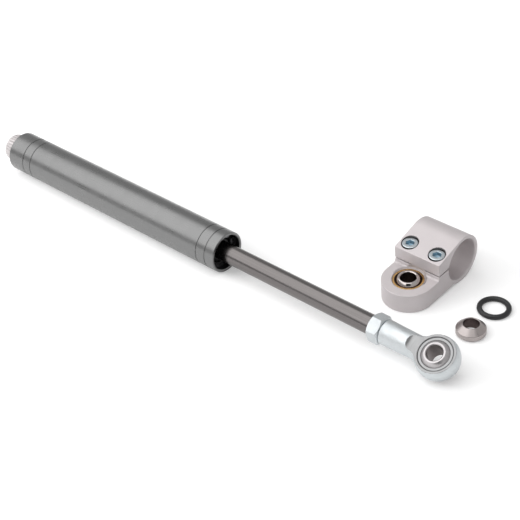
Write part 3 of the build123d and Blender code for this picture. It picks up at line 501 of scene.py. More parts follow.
def anodised(name, colour, roughness, place):
    """Dyed anodising over turned aluminium: a dark film with a soft sheen."""
    material, shader, nodes, links = new_shader(name)
    lines = noise(nodes, links, work_coordinates(nodes, links, place, *ANODISED_MARKS), 1.0)
    rough = spread(nodes, links, lines, roughness - 0.05, roughness + 0.05)
    links.new(rough, shader.inputs["Roughness"])
    shader.inputs["Base Color"].default_value = (*colour, 1)
    shader.inputs["Specular IOR Level"].default_value = 0.6
    raised(nodes, links, shader, lines, 0.003)
    return material


def guide_outline():
    """Outline of the guide as it stands in the tube, with the wiper's seat in its outer face."""
    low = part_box("rod_guide")[0].x / mm
    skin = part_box("rod_guide")[1].z / mm
    seat = GUIDE_FACE - WIPER_DEPTH
    return eased([
        (low, ROD_RADIUS + BUSH_WALL, 0.1), (low, NOSE_RADIUS, 0.1),
        (low + NOSE_LENGTH, NOSE_RADIUS, 0), (low + NOSE_LENGTH, skin, 0.1),
        (GUIDE_FACE, skin, 0.25), (GUIDE_FACE, ROD_RADIUS + WIPER_WALL, 0.2),
        (seat, ROD_RADIUS + WIPER_WALL, 0), (seat, ROD_RADIUS + GUIDE_GAP, 0),
    ])


def wiper_outline():
    """Outline of the wiper: a square body and a lip that thins out along the rod."""
    inner = ROD_RADIUS + WIPER_GAP
    outer = ROD_RADIUS + WIPER_WALL - SEAT_GAP
    seat = GUIDE_FACE - WIPER_DEPTH
    foot = GUIDE_FACE - LIP_HEIGHT
    return eased([
        (seat, inner, 0.1), (GUIDE_FACE, inner, 0.12), (GUIDE_FACE, inner + LIP_WALL, 0.25),
        (foot, outer - LIP_WALL, 0.4), (foot, outer, 0.25), (seat, outer, 0.1),
    ])


guide_finish = anodised("black_anodised", GUIDE_BLACK, 0.32, damper_place)
rubber_finish = moulded_rubber("seal_rubber", RUBBER_BLACK, 0.5)
circlip_finish = worked_metal(
    "spring_steel", CIRCLIP_STEEL, 0.35, damper_place, ROLLED_MARKS, shade=0.1, depth=0.003
)
guide_mesh = turned("gland", guide_outline(), damper_place)
show("gland", guide_mesh, "damper_body", ["rod_guide"], guide_finish)
wiper_mesh = turned("wiper", wiper_outline(), damper_place)
show("wiper", wiper_mesh, "damper_body", ["rod_wiper"], rubber_finish)

# Piston rod.
# The rod is hardened steel, ground and polished. The stroke has drawn faint streaks along it, and
# the oil film leaves it a shade warmer than the tube.

ROD_WARM = (0.2, 0.186, 0.183)
ROD_EDGE = 0.5
PISTON_SEAT_RADIUS = 3.0
STUD_RADIUS = 3.98
GROUND_MARKS = (25.0, 60.0, 26.0)


def rod_outline():
    """Outline of the rod from the turned piston seat to the stud that the rod end screws on."""
    low, high = (corner.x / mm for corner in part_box("piston_rod"))
    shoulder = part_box("top_out_bumper")[0].x / mm
    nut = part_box("lock_nut")[0].x / mm
    return eased([
        (low, 0, 0), (low, PISTON_SEAT_RADIUS - ROD_EDGE, 0.1),
        (low + ROD_EDGE, PISTON_SEAT_RADIUS, 0.1), (shoulder, PISTON_SEAT_RADIUS, 0),
        (shoulder, ROD_RADIUS, 0.1), (nut - ROD_EDGE, ROD_RADIUS, 0.15),
        (nut, ROD_RADIUS - ROD_EDGE, 0.15), (nut, STUD_RADIUS, 0),
        (high - ROD_EDGE, STUD_RADIUS, 0.1), (high, STUD_RADIUS - ROD_EDGE, 0.1), (high, 0, 0),
    ])


rod_finish = worked_metal(
    "ground_steel", ROD_WARM, 0.22, damper_place, GROUND_MARKS, shade=0.12, depth=0.002
)
show("rod", turned("rod", rod_outline(), damper_place), "rod", ["piston_rod"], rod_finish)

# Lock nut.
# The nut is a plain steel hexagon with both faces chamfered at 30 degrees. Bright zinc plate with
# a bluish passivation covers it.

NUT_FLATS = 13.0
NUT_TURN = 44.0
NUT_BORE = 8.0
NUT_LEAD = 0.4
CHAMFER_START = 0.475
CHAMFER_ANGLE = 30.0
HEX_SHARPNESS = 90
ZINC = (0.67, 0.7, 0.715)
PLATED_MARKS = (900.0, 900.0, 6.0)


def hexagon(count, flats, turn):
    """Radius of a hexagon with slightly rounded corners: rho(t) = f / 2 (sum of cos(t - t_k)^p)^(-1/p).

    Here f is the distance across the flats and t_k the direction that flat k faces.
    """
    t = np.arange(count) * 2 * np.pi / count
    faces = np.radians(turn + 30 + 60 * np.arange(6))
    reach = np.maximum(np.cos(t[:, None] - faces), 1e-6) / (flats / 2)
    return (reach ** HEX_SHARPNESS).sum(axis=1) ** (-1 / HEX_SHARPNESS)


def outline_by_angle(corners, count):
    """Outline for each angle from corners whose radii may be one number or one for each angle."""
    rows = [[np.broadcast_to(value, count) for value in corner] for corner in corners]
    return eased(np.moveaxis(np.array(rows), -1, 0))


def nut_outline(count):
    """Outline of the nut for each angle, both faces chamfered from a circle inside the flats."""
    low, high = (corner.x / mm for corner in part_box("lock_nut"))
    rim = hexagon(count, NUT_FLATS, NUT_TURN)
    start = CHAMFER_START * NUT_FLATS
    drop = (rim - start) * math.tan(math.radians(CHAMFER_ANGLE))
    bore = NUT_BORE / 2
    return outline_by_angle([
        (low, bore + NUT_LEAD, 0.1), (low, start, 0.15), (low + drop, rim, 0.12),
        (high - drop, rim, 0.12), (high, start, 0.15), (high, bore + NUT_LEAD, 0.1),
        (high - NUT_LEAD, bore, 0.1), (low + NUT_LEAD, bore, 0.1),
    ], count)


zinc_finish = worked_metal(
    "zinc_plate", ZINC, 0.45, damper_place, PLATED_MARKS, shade=0.04, depth=0.004, cloud=0.3
)
nut_mesh = turned("rod_lock_nut", nut_outline(360), damper_place, 360)
show("rod_lock_nut", nut_mesh, "rod", ["lock_nut"], zinc_finish)

# Rod end.
# The housing is turned from steel and zinc plated: a threaded shank that swells into a round head,
# milled flat on two sides. A steel race pressed into it holds a ball with a through bore.

EYE_TO_END = 30.2
EYE_ROLL = 28.8
HEAD_RADIUS = 10.8
NECK_RADIUS = 5.95
NECK_FILLET = 8.0
SHANK_RADIUS = 6.3
SHANK_CHAMFER = 0.7
FLAT_HEIGHT = 4.5
FLAT_START = -12.6
FLAT_RUNOUT = 3.0
EDGE_SHARPNESS = 110
THREAD_END = -15.2
THREAD_RADIUS = 4.0
# Height of the flats where there are none
UNCUT = 1000.0
PROFILE_STEP = 0.2
# How far a cutter runs past the face that it cuts
OVERSHOOT = 1.0
SEAT_EDGE = 0.3
PRESS_GAP = 0.02
RACE_RADIUS = 8.5
RACE_HALF = 4.2
BALL_RADIUS = 7.9375
BALL_HALF = 6.0
BOLT_RADIUS = 4.0
BORE_LEAD = 0.4
BORE_SLACK = 0.02
BALL_CLEARANCE = 0.05
BALL_GREY = (0.6, 0.575, 0.58)
RACE_GREY = (0.37, 0.372, 0.375)
FLATS_SHADED_ZINC = (0.36, 0.362, 0.365)
BALL_BORE_SHADE = (0.31, 0.275, 0.272)
LAPPED_MARKS = (60.0, 900.0, 5.0)
FACED_MARKS = (300.0, 2500.0, 3.0)
MILLED_MARKS = (300.0, 1500.0, 3.0)
REAMED_MARKS = (900.0, 60.0, 5.0)
SHARP_ANGLE = math.radians(35)


def arc(centre, radius, start, end, steps):
    """Sharp outline corners along an arc: c + r (cos t, sin t), t even from start to end in degrees."""
    t = np.radians(np.linspace(start, end, steps))
    points = np.stack([centre[0] + radius * np.cos(t), centre[1] + radius * np.sin(t), 0 * t], axis=-1)
    return [tuple(point) for point in points]


def evenly(path, step):
    """Points of a path again, at about equal steps along its length."""
    length = np.concatenate([[0], np.cumsum(np.linalg.norm(np.diff(path, axis=0), axis=1))])
    marks = np.linspace(0, length[-1], int(length[-1] / step) + 2)
    return np.stack([np.interp(marks, length, path[:, k]) for k in range(2)], axis=-1)


def head_profile():
    """Radius of the housing along its axis: shank, taper to the neck, hollow fillet and round head."""
    fillet_r = NECK_RADIUS + NECK_FILLET
    fillet_x = -math.sqrt((HEAD_RADIUS + NECK_FILLET) ** 2 - fillet_r ** 2)
    join = math.degrees(math.atan2(fillet_r, fillet_x))
    corners = [(-EYE_TO_END, THREAD_RADIUS, 0), (-EYE_TO_END, SHANK_RADIUS - SHANK_CHAMFER, 0.2)]
    corners += [(-EYE_TO_END + SHANK_CHAMFER, SHANK_RADIUS, 0.25)]
    corners += arc((fillet_x, fillet_r), NECK_FILLET, -90, join - 180, 40)
    corners += arc((0, 0), HEAD_RADIUS, join, 0, 90)[1:]
    return evenly(eased(corners), PROFILE_STEP)


def flatted_housing(place, count):
    """Turned and milled surface: rho(x, t) = (R(x)^-p + (|sin t| / h(x))^p)^(-1/p).

    R is the turned radius and h the height of the flats, which rises along the cutter's round
    edge at the shank. The power p leaves a slightly broken edge where they meet.
    """
    profile = head_profile()
    x, radius = profile[:, 0], profile[:, 1]
    run = np.clip(FLAT_START - x, 0, FLAT_RUNOUT)
    height = FLAT_HEIGHT + FLAT_RUNOUT - np.sqrt(FLAT_RUNOUT ** 2 - run ** 2)
    height = np.where(x < FLAT_START - FLAT_RUNOUT, UNCUT, height)
    t = np.arange(count) * 2 * np.pi / count
    near_flat = np.abs(np.sin(t))[:, None] / height
    turned_reach = 1 / np.maximum(radius, 1e-4)
    p = EDGE_SHARPNESS
    largest = np.maximum(near_flat, turned_reach)
    rho = 1 / (largest * ((near_flat / largest) ** p + (turned_reach / largest) ** p) ** (1 / p))
    outline = np.stack([np.broadcast_to(x, rho.shape), rho], axis=-1)
    thread = np.array([(THREAD_END, 0.0), (THREAD_END, THREAD_RADIUS)])
    bore = np.broadcast_to(thread, (count, 2, 2))
    outline = np.concatenate([outline, outline[:, -1:] * [1, 0], bore], axis=1)
    return turned("housing_surface", outline, place, count)


def carved(name, base, tools, operation="DIFFERENCE"):
    """Mesh of the base after an exact Boolean with each tool's mesh in turn."""
    body = bpy.data.objects.new(name, base)
    holders = [bpy.data.objects.new("tool", tool) for tool in tools]
    for holder in [body] + holders:
        bpy.context.scene.collection.objects.link(holder)
    for holder in holders:
        step = body.modifiers.new("carve", "BOOLEAN")
        step.operation = operation
        step.solver = "EXACT"
        step.object = holder
    bpy.context.view_layer.update()
    graph = bpy.context.evaluated_depsgraph_get()
    made = bpy.data.meshes.new_from_object(body.evaluated_get(graph))
    for holder in [body] + holders:
        bpy.data.objects.remove(holder)
    made.name = name
    made.set_sharp_from_angle(angle=SHARP_ANGLE)
    return made


def facing(origin, axis):
    """Place whose origin is given in metres and whose X axis points along the axis."""
    return Matrix.Translation(origin) @ Vector(axis).to_track_quat("X", "Y").to_matrix().to_4x4()


def coned_tool(half, radius, edge):
    """Outline of a cutter that leaves a hole with both rims coned at 45 degrees."""
    end = half + OVERSHOOT
    rim = radius + OVERSHOOT + edge
    return eased([
        (-end, 0, 0), (-end, rim, 0), (-half + edge, radius, edge / 2),
        (half - edge, radius, edge / 2), (end, rim, 0), (end, 0, 0),
    ])


def ball_outline(radius, half, bore):
    """Outline of a ball with two flats and a bore along its axis, the bore's rims broken."""
    edge = math.degrees(math.acos(half / radius))
    return eased([
        (-half, bore + BORE_LEAD, 0.1), (-half + BORE_LEAD, bore, 0.1),
        (half - BORE_LEAD, bore, 0.1), (half, bore + BORE_LEAD, 0.1),
    ] + arc((0, 0), radius, edge, 180 - edge, 80))


def race_outline(radius, half, ball, edge, lead):
    """Outline of a race: a ring hollowed to the ball, with a lead-in cone beside the ball."""
    gap = ball + BALL_CLEARANCE
    mouth = half - lead
    angle = math.degrees(math.asin(mouth / gap))
    rim = math.sqrt(gap ** 2 - mouth ** 2)
    return eased([
        (half, rim + lead, 0.08), (half, radius - edge, 0.1), (half - edge, radius, 0.1),
        (-half + edge, radius, 0.1), (-half, radius - edge, 0.1), (-half, rim + lead, 0.08),
    ] + arc((0, 0), gap, 90 + angle, 90 - angle, 40))


eye_mount = mounts["rod_eye_bore"]
eye_centre = Vector(eye_mount["pos_m"])
eye_place = facing(eye_centre, eye_mount["axis"])
housing_place = Matrix.Translation(eye_centre) @ Matrix.Rotation(math.radians(EYE_ROLL), 4, "X")
ball_finish = worked_metal(
    "ball_steel", BALL_GREY, 0.38, eye_place, LAPPED_MARKS, shade=0.05, depth=0.002
)
race_finish = worked_metal(
    "race_steel", RACE_GREY, 0.36, eye_place, FACED_MARKS, shade=0.08, depth=0.003
)
# Painted shade: the milled flats are the same zinc plate, given a darker copy that stands in for the
# darker surroundings they reflect.
flats_painted_shade_finish = worked_metal(
    "milled_zinc_painted_shade", FLATS_SHADED_ZINC, 0.4, eye_place, MILLED_MARKS, shade=0.08, depth=0.003, cloud=0.3
)
# Painted shade: the ball's bore is coloured darker than the ball, for the shade inside the hole.
ball_bore_shade_finish = worked_metal(
    "reamed_bore_painted_shade", BALL_BORE_SHADE, 0.35, eye_place, REAMED_MARKS, shade=0.08, depth=0.003
)
housing_bore = turned("bore", coned_tool(FLAT_HEIGHT, RACE_RADIUS, SEAT_EDGE), eye_place, 160)
housing_mesh = carved("eye_housing", flatted_housing(housing_place, 288), [housing_bore])
housing = show("eye_housing", housing_mesh, "rod", ["rod_end_housing"], zinc_finish)
skin_x, skin_r = head_profile().T


def below_skin(x, r):
    """Whether a face lies under the housing's turned skin: on a flat, on its run-out or inside."""
    return r < np.interp(x, skin_x, skin_r) - FACE_SLACK


def in_bolt_bore(x, r):
    """Whether a face lies in a bore for the 8 mm bolt along the place's X axis."""
    return r < BOLT_RADIUS + BORE_SLACK


# The flats and their run-out take the darker zinc, as painted shade.
refinished(housing, housing_place, below_skin, flats_painted_shade_finish)
race_shape = race_outline(RACE_RADIUS - PRESS_GAP, RACE_HALF, BALL_RADIUS, edge=0.3, lead=0.2)
show("eye_race", turned("eye_race", race_shape, eye_place), "rod", ["rod_end_race"], race_finish)
ball_mesh = turned("eye_ball", ball_outline(BALL_RADIUS, BALL_HALF, BOLT_RADIUS), eye_place)
ball = show("eye_ball", ball_mesh, "eye_ball", ["rod_end_ball"], ball_finish)
refinished(ball, eye_place, in_bolt_bore, ball_bore_shade_finish)

# Adjuster knob.
# The knob is turned from aluminium, anodised clear and fluted for the fingers. A small socket
# screw in its end holds it on the spindle.

KNOB_RADIUS = 7.5
KNOB_OUTER = -88.1
KNOB_INNER = -80.1
KNOB_HUB = 5.7
KNOB_RIM = 1.0
FLUTES = 24
FLUTE_RADIUS = 0.5
FLUTE_DEPTH = 0.25
KNOB_WEB = -84.5
SPINDLE_HOLE = 3.02
SCREW_HOLE = 1.52
RECESS_RADIUS = 2.95
RECESS_DEPTH = 2.0
SOCKET_LEAD = 0.2
DRILL_POINT = 0.3
SCREW_EDGE = 0.3
SCREW_LEAD = 0.4
KNOB_PALE = (0.7, 0.665, 0.665)
SCREW_ZINC = (0.68, 0.735, 0.77)
KNOB_MARKS = (1500.0, 1500.0, 3.0)
TURNED_MARKS = (900.0, 900.0, 3.0)


def fluted(count):
    """Radius of the knob's grip: R, or where a flute cuts it c cos s - sqrt(f^2 - c^2 sin^2 s).

    Here s is the angle from the nearest flute, f its radius and c how far its centre lies out.
    """
    t = np.arange(count) * 2 * np.pi / count
    pitch = 2 * np.pi / FLUTES
    s = (t + pitch / 2) % pitch - pitch / 2
    c = KNOB_RADIUS + FLUTE_RADIUS - FLUTE_DEPTH
    room = FLUTE_RADIUS ** 2 - (c * np.sin(s)) ** 2
    cut = c * np.cos(s) - np.sqrt(np.maximum(room, 0))
    return np.where(room > 0, np.minimum(cut, KNOB_RADIUS), KNOB_RADIUS)


def knob_outline(count):
    """Outline of the knob for each angle: counterbored face, fluted grip, plain rim and hub."""
    hub_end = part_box("adjuster_knob")[1].x / mm
    grip = fluted(count)
    floor = KNOB_OUTER + RECESS_DEPTH
    return outline_by_angle([
        (KNOB_OUTER, RECESS_RADIUS, 0.15), (KNOB_OUTER, grip - KNOB_RIM, 0.3),
        (KNOB_OUTER + KNOB_RIM, grip, 0.3), (KNOB_INNER - KNOB_RIM, grip, 0),
        (KNOB_INNER - KNOB_RIM + 0.1, KNOB_RADIUS, 0), (KNOB_INNER, KNOB_RADIUS, 0.15),
        (KNOB_INNER, KNOB_HUB, 0.1), (hub_end, KNOB_HUB, 0.2), (hub_end, SPINDLE_HOLE, 0.1),
        (KNOB_WEB, SPINDLE_HOLE, 0), (KNOB_WEB, SCREW_HOLE, 0.1), (floor, SCREW_HOLE, 0.1),
        (floor, RECESS_RADIUS, 0),
    ], count)


def socket_screw_outline(top, head, radius, shank, end, flats, depth, count=240):
    """Outline of a socket screw for each angle: socket, chamfered head of height head, and shank."""
    socket = hexagon(count, flats, 0)
    seat = top - head
    ease = SCREW_EDGE * 0.8
    return outline_by_angle([
        (top - depth - DRILL_POINT, 0, 0), (top - depth, socket * 0.98, 0.05),
        (top - SOCKET_LEAD, socket, 0.1), (top, socket + SOCKET_LEAD, 0.1),
        (top, radius - SCREW_EDGE, ease), (top - SCREW_EDGE, radius, ease),
        (seat + 0.15, radius, 0.1), (seat, radius - 0.15, 0.1), (seat, shank, 0.1),
        (end + SCREW_LEAD, shank, 0.1), (end, shank - SCREW_LEAD, 0.1), (end, 0, 0),
    ], count)


knob_finish = worked_metal(
    "clear_anodised", KNOB_PALE, 0.5, damper_place, KNOB_MARKS, shade=0.03, depth=0.004
)
knob_mesh = turned("knob", knob_outline(576), damper_place, 576)
show("knob", knob_mesh, "adjuster", ["adjuster_knob"], knob_finish)
screw_finish = worked_metal(
    "zinc_screws", SCREW_ZINC, 0.33, damper_place, TURNED_MARKS, shade=0.05, depth=0.003
)
knob_screw_place = facing((KNOB_OUTER * mm, 0, 0), (-1, 0, 0))
knob_screw_shape = socket_screw_outline(
    top=0.0, head=2.0, radius=2.75, shank=1.48, end=-7.0, flats=2.0, depth=1.2
)
knob_screw_mesh = turned("knob_screw_head", knob_screw_shape, knob_screw_place, 240)
show("knob_screw_head", knob_screw_mesh, "adjuster", ["knob_screw"], screw_finish)

# Clamp body.
# The clamp is milled from one block of aluminium: a ring for the tube, slit jaws and an ear for
# the bearing. It is bead blasted and anodised clear, with its edges broken.

CLAMP_WIDTH = 27.0
CLAMP_RING = 13.1
CLAMP_BORE = 11.05
CLAMP_FRONT = 19.6
CLAMP_FRONT_TOP = 8.9
EAR_TOP = -0.6
EAR_BOTTOM = -11.2
EAR_REACH = 26.65
EAR_FILLET = 1.2
SLIT_MIDDLE = 1.8
SLIT_WIDTH = 0.8
SLIT_END = -6.0
# How far the blank and the slit's cutter stand past the finished clamp
MARGIN = 5.0
BLANK_HALF = 20.0
BORE_EDGE = 0.5
SCREW_SPACING = 16.2
SCREW_Y = -14.0
SCREW_SEAT = 6.5
SCREW_HEAD_RADIUS = 4.1
SCREW_HEAD_HEIGHT = 3.5
SCREW_HEAD_GAP = 0.25
TAP_BOTTOM = -8.3
TAP_RADIUS = 2.52
SHANK_HOLE = 2.65
CUTTER_TOP = 15.0
BEARING_RADIUS = 8.0
BEARING_HALF = 2.5
BEARING_RECESS = 0.4
BEARING_LEAD = 0.3
RELIEF_RADIUS = 6.6
SPOT_RADIUS = 8.7
BROKEN_EDGE = 0.35
BROKEN_ANGLE = math.radians(30)
CLAMP_SILVER = (0.565, 0.525, 0.53)
BEAD_SCALE = 3800.0
PATCH_SCALE = 120.0


def prism(name, outline, axis, low, high, place):
    """Straight solid: the outline (u, v) swept from low to high along the X or the Z axis."""
    outline = np.asarray(outline)
    count = len(outline)
    ends = [np.column_stack([np.full(count, w), outline]) for w in (low, high)]
    points = np.concatenate(ends)
    if axis == "Z":
        points = points[:, [1, 2, 0]]
    i = np.arange(count)
    after = (i + 1) % count
    sides = np.column_stack([i, after, after + count, i + count]).tolist()
    caps = [list(range(count)), list(range(count, 2 * count))]
    return new_solid(name, placed(points, place), sides + caps)


def side_outline():
    """Outline of the clamp from its side: ring, sloping jaws, fillet and ear, as (y, z)."""
    reach = math.hypot(CLAMP_FRONT, CLAMP_FRONT_TOP)
    tangent = math.degrees(
        math.atan2(CLAMP_FRONT_TOP, -CLAMP_FRONT) - math.acos(CLAMP_RING / reach)
    )
    under = math.degrees(math.asin(EAR_BOTTOM / CLAMP_RING))
    ring = arc((0, 0), CLAMP_RING, tangent, -180 - under, 160)
    hollow = (-CLAMP_FRONT - EAR_FILLET, EAR_TOP + EAR_FILLET)
    nose = -EAR_REACH - CLAMP_WIDTH
    outline = ring + [(nose, EAR_BOTTOM, 0), (nose, EAR_TOP, 0)]
    outline += arc(hollow, EAR_FILLET, -90, 0, 12)
    return np.array(outline + [(-CLAMP_FRONT, CLAMP_FRONT_TOP, 0)])[:, :2]


def plan_outline():
    """Outline of the clamp from above: its full width, and the ear's round nose."""
    half = CLAMP_WIDTH / 2
    back = CLAMP_RING + MARGIN
    nose = arc((0, -EAR_REACH), half, 180, 360, 120)
    return np.array([(half, back, 0), (-half, back, 0)] + nose)[:, :2]


def upright(x, y):
    """Place whose X axis stands along the clamp's own Z axis at (x, y) in millimetres."""
    return clamp_place @ facing((x * mm, y * mm, 0), (0, 0, 1))


def stepped_tool(name, corners, x, y, count=128):
    """Round cutter along the clamp's own Z axis, with an outline of (z, r) corners."""
    return turned(name, eased([(z, r, 0) for z, r in corners]), upright(x, y), count)


def clamp_tools():
    """Cutters for the bore, the slit, the two screw holes and the bearing's seat."""
    bore = turned("bore", coned_tool(CLAMP_WIDTH / 2, CLAMP_BORE, BORE_EDGE), clamp_place, 256)
    half = CLAMP_WIDTH / 2 + OVERSHOOT
    mouth = -CLAMP_FRONT - MARGIN
    low, high = SLIT_MIDDLE - SLIT_WIDTH / 2, SLIT_MIDDLE + SLIT_WIDTH / 2
    slit = [(mouth, low), (SLIT_END, low), (SLIT_END, high), (mouth, high)]
    tools = [bore, prism("slit", slit, "X", -half, half, clamp_place)]
    counterbore = SCREW_HEAD_RADIUS + SCREW_HEAD_GAP
    hole = [(TAP_BOTTOM, 0), (TAP_BOTTOM, TAP_RADIUS), (SLIT_MIDDLE, TAP_RADIUS)]
    hole += [(SLIT_MIDDLE, SHANK_HOLE), (SCREW_SEAT, SHANK_HOLE), (SCREW_SEAT, counterbore)]
    hole += [(CUTTER_TOP, counterbore), (CUTTER_TOP, 0)]
    for side in (-1, 1):
        tools.append(stepped_tool("screw_hole", hole, side * SCREW_SPACING / 2, SCREW_Y))
    start = EAR_BOTTOM - OVERSHOOT
    floor = EAR_TOP - BEARING_RECESS - 2 * BEARING_HALF
    seat = [(start, 0), (start, RELIEF_RADIUS), (floor, RELIEF_RADIUS), (floor, BEARING_RADIUS)]
    seat += [(EAR_TOP - BEARING_LEAD, BEARING_RADIUS), (EAR_TOP, BEARING_RADIUS + BEARING_LEAD)]
    seat += [(EAR_TOP, SPOT_RADIUS), (SLIT_MIDDLE, SPOT_RADIUS), (SLIT_MIDDLE, 0)]
    return tools + [stepped_tool("bearing_seat", seat, 0, -EAR_REACH, 192)]


def blasted(name, colour, roughness):
    """Bead-blasted and clear-anodised aluminium: even fine dimples and a silky, warm grey."""
    material, shader, nodes, links = new_shader(name)
    beads = noise(nodes, links, None, BEAD_SCALE, 2.0)
    broad = noise(nodes, links, None, PATCH_SCALE)
    shader.inputs["Metallic"].default_value = 0.4
    rough = spread(nodes, links, broad, roughness - 0.04, roughness + 0.04)
    links.new(rough, shader.inputs["Roughness"])
    tint = tinted(nodes, links, colour, spread(nodes, links, broad, 0.97, 1.03))
    links.new(tint, shader.inputs["Base Color"])
    raised(nodes, links, shader, beads, 0.012)
    return material


clamp_axis = mounts["clamp_bearing_bore"]["axis"]
clamp_tilt = math.atan2(-clamp_axis[1], clamp_axis[2])
clamp_centre = Matrix.Translation(mounts["clamp_tube_bore"]["pos_m"])
clamp_place = clamp_centre @ Matrix.Rotation(clamp_tilt, 4, "X")
side_solid = prism("clamp_sides", side_outline(), "X", -BLANK_HALF, BLANK_HALF, clamp_place)
plan_solid = prism("clamp_plan", plan_outline(), "Z", -BLANK_HALF, BLANK_HALF, clamp_place)
clamp_block = carved("clamp_block", side_solid, [plan_solid], "INTERSECT")
clamp_mesh = carved("clamp", clamp_block, clamp_tools())
clamp_finish = blasted("blasted_aluminium", CLAMP_SILVER, 0.48)
clamp = show("clamp", clamp_mesh, "clamp", ["clamp_body"], clamp_finish, evened=False)
broken = clamp.modifiers.new("broken_edges", "BEVEL")
broken.width = BROKEN_EDGE * mm
broken.segments = 3
broken.limit_method = "ANGLE"
broken.angle_limit = BROKEN_ANGLE
broken.use_clamp_overlap = False
broken.harden_normals = True

# Clamp screws.
# The two socket screws that close the jaws are zinc plated and stand in counterbores. The sides of
# the heads and the counterbore walls are coloured dark, as painted shade in the gap round each head.

# Painted shade: dark on the heads' sides and grey on the counterbore walls, for the shadow in the gap
HEAD_SIDE_SHADE = (0.035, 0.033, 0.033)
COUNTERBORE_SHADE = (0.2, 0.19, 0.19)
SOCKET_BLUE = (0.42, 0.53, 0.6)
SOCKET_REACH = 2.4
HEAD_TOP = SCREW_SEAT + SCREW_HEAD_HEIGHT


def clamp_screws():
    """Both screws as one mesh, each turned in its own place and standing in its counterbore."""
    shape = socket_screw_outline(
        HEAD_TOP, SCREW_HEAD_HEIGHT, SCREW_HEAD_RADIUS, shank=2.48, end=-7.5, flats=4.0, depth=2.2
    )
    joined = bmesh.new()
    for side in (-1, 1):
        joined.from_mesh(turned("screw", shape, upright(side * SCREW_SPACING / 2, SCREW_Y), 240))
    mesh = bpy.data.meshes.new("jaw_screws")
    joined.to_mesh(mesh)
    joined.free()
    return mesh


def in_socket(x, r):
    """Whether a face of a screw lies in its socket."""
    return (r < SOCKET_REACH) & (x < HEAD_TOP - FACE_SLACK) & (x > SCREW_SEAT)


def on_head_side(x, r):
    """Whether a face of a screw lies on the side of its head."""
    return abs(r - SCREW_HEAD_RADIUS) < FACE_SLACK


def in_counterbore(x, r):
    """Whether a face of the clamp lies on the wall of a counterbore."""
    return abs(r - SCREW_HEAD_RADIUS - SCREW_HEAD_GAP) < FACE_SLACK


jaw_screws = show("jaw_screws", clamp_screws(), "clamp", ["clamp_screws"], screw_finish)
# Painted shade for the narrow gap round each head
head_side_shade_finish = worked_metal("head_side_painted_shade", HEAD_SIDE_SHADE, 0.5, clamp_place, PLATED_MARKS)
counterbore_shade_finish = worked_metal("counterbore", COUNTERBORE_SHADE, 0.5, clamp_place, PLATED_MARKS)
socket_finish = worked_metal("blue_socket", SOCKET_BLUE, 0.3, clamp_place, PLATED_MARKS)
for side in (-1, 1):
    hole_place = upright(side * SCREW_SPACING / 2, SCREW_Y)
    refinished(jaw_screws, hole_place, in_socket, socket_finish)
    refinished(jaw_screws, hole_place, on_head_side, head_side_shade_finish)
    refinished(clamp, hole_place, in_counterbore, counterbore_shade_finish)

# Ear bearing.
# A bronze race is pressed into the ear, and a chromed ball with a bore for the frame bolt turns
# in it. The race's mouth is coned, so the ball shows below a thin golden ring.

EAR_BALL_RADIUS = 6.5
EAR_BALL_HALF = 4.0
BRONZE = (0.68, 0.43, 0.18)
CHROME = (0.6, 0.55, 0.53)
EAR_HOLLOWS_SHADE = (0.09, 0.062, 0.055)
BRONZE_LAND = 6.95
BRONZE_MARKS = (900.0, 2500.0, 3.0)

ear_place = facing(mounts["clamp_bearing_bore"]["pos_m"], clamp_axis)
bronze_finish = worked_metal(
    "sintered_bronze", BRONZE, 0.3, ear_place, BRONZE_MARKS, shade=0.15, depth=0.003
)
chrome_finish = worked_metal(
    "chromed_ball", CHROME, 0.14, ear_place, LAPPED_MARKS, shade=0.02, depth=0.001
)
# Painted shade: dark brown in the ball's bore and in the race's hollow round the ball stands in for the
# shade inside them.
ear_hollows_shade_finish = worked_metal(
    "ear_hollows_painted_shade", EAR_HOLLOWS_SHADE, 0.4, ear_place, REAMED_MARKS, shade=0.1, depth=0.003
)
ear_race_shape = race_outline(
    BEARING_RADIUS - PRESS_GAP, BEARING_HALF, EAR_BALL_RADIUS, edge=0.25, lead=0.7
)
ear_race_mesh = turned("ear_race", ear_race_shape, ear_place)
ear_race = show("ear_race", ear_race_mesh, "clamp", ["clamp_bearing_race"], bronze_finish)
ear_ball_mesh = turned("ear_ball", ball_outline(EAR_BALL_RADIUS, EAR_BALL_HALF, BOLT_RADIUS), ear_place)
ear_ball = show("ear_ball", ear_ball_mesh, "clamp_ball", ["clamp_bearing_ball"], chrome_finish)
# The ball's bore and the race's hollow take the painted shade.
refinished(ear_ball, ear_place, in_bolt_bore, ear_hollows_shade_finish)
refinished(ear_race, ear_place, lambda x, r: r < BRONZE_LAND, ear_hollows_shade_finish)

# Conical spacer.
# The spacer is turned from bright steel: a low band, a cone and a small land round the bore, so
# that the rod end can tilt on its bolt.

SPACER_RADIUS = 7.4
SPACER_HEIGHT = 6.0
SPACER_BAND = 3.3
SPACER_FOOT = 0.9
SPACER_LAND = 0.5
SPACER_BROKEN = 0.15
SPACER_STEEL = (0.47, 0.425, 0.415)
SPACER_SHADE = (0.16, 0.125, 0.12)


def spacer_outline():
    """Outline of the spacer above the table: chamfered base, band, cone and top land."""
    return eased([
        (0, BOLT_RADIUS, 0.1), (0, SPACER_RADIUS - SPACER_FOOT, 0.2),
        (SPACER_FOOT, SPACER_RADIUS, 0.2), (SPACER_BAND, SPACER_RADIUS, 0.3),
        (SPACER_HEIGHT, BOLT_RADIUS + SPACER_LAND, 0.15),
        (SPACER_HEIGHT, BOLT_RADIUS + SPACER_BROKEN, 0.1),
        (SPACER_HEIGHT - SPACER_BROKEN, BOLT_RADIUS, 0.1),
    ])


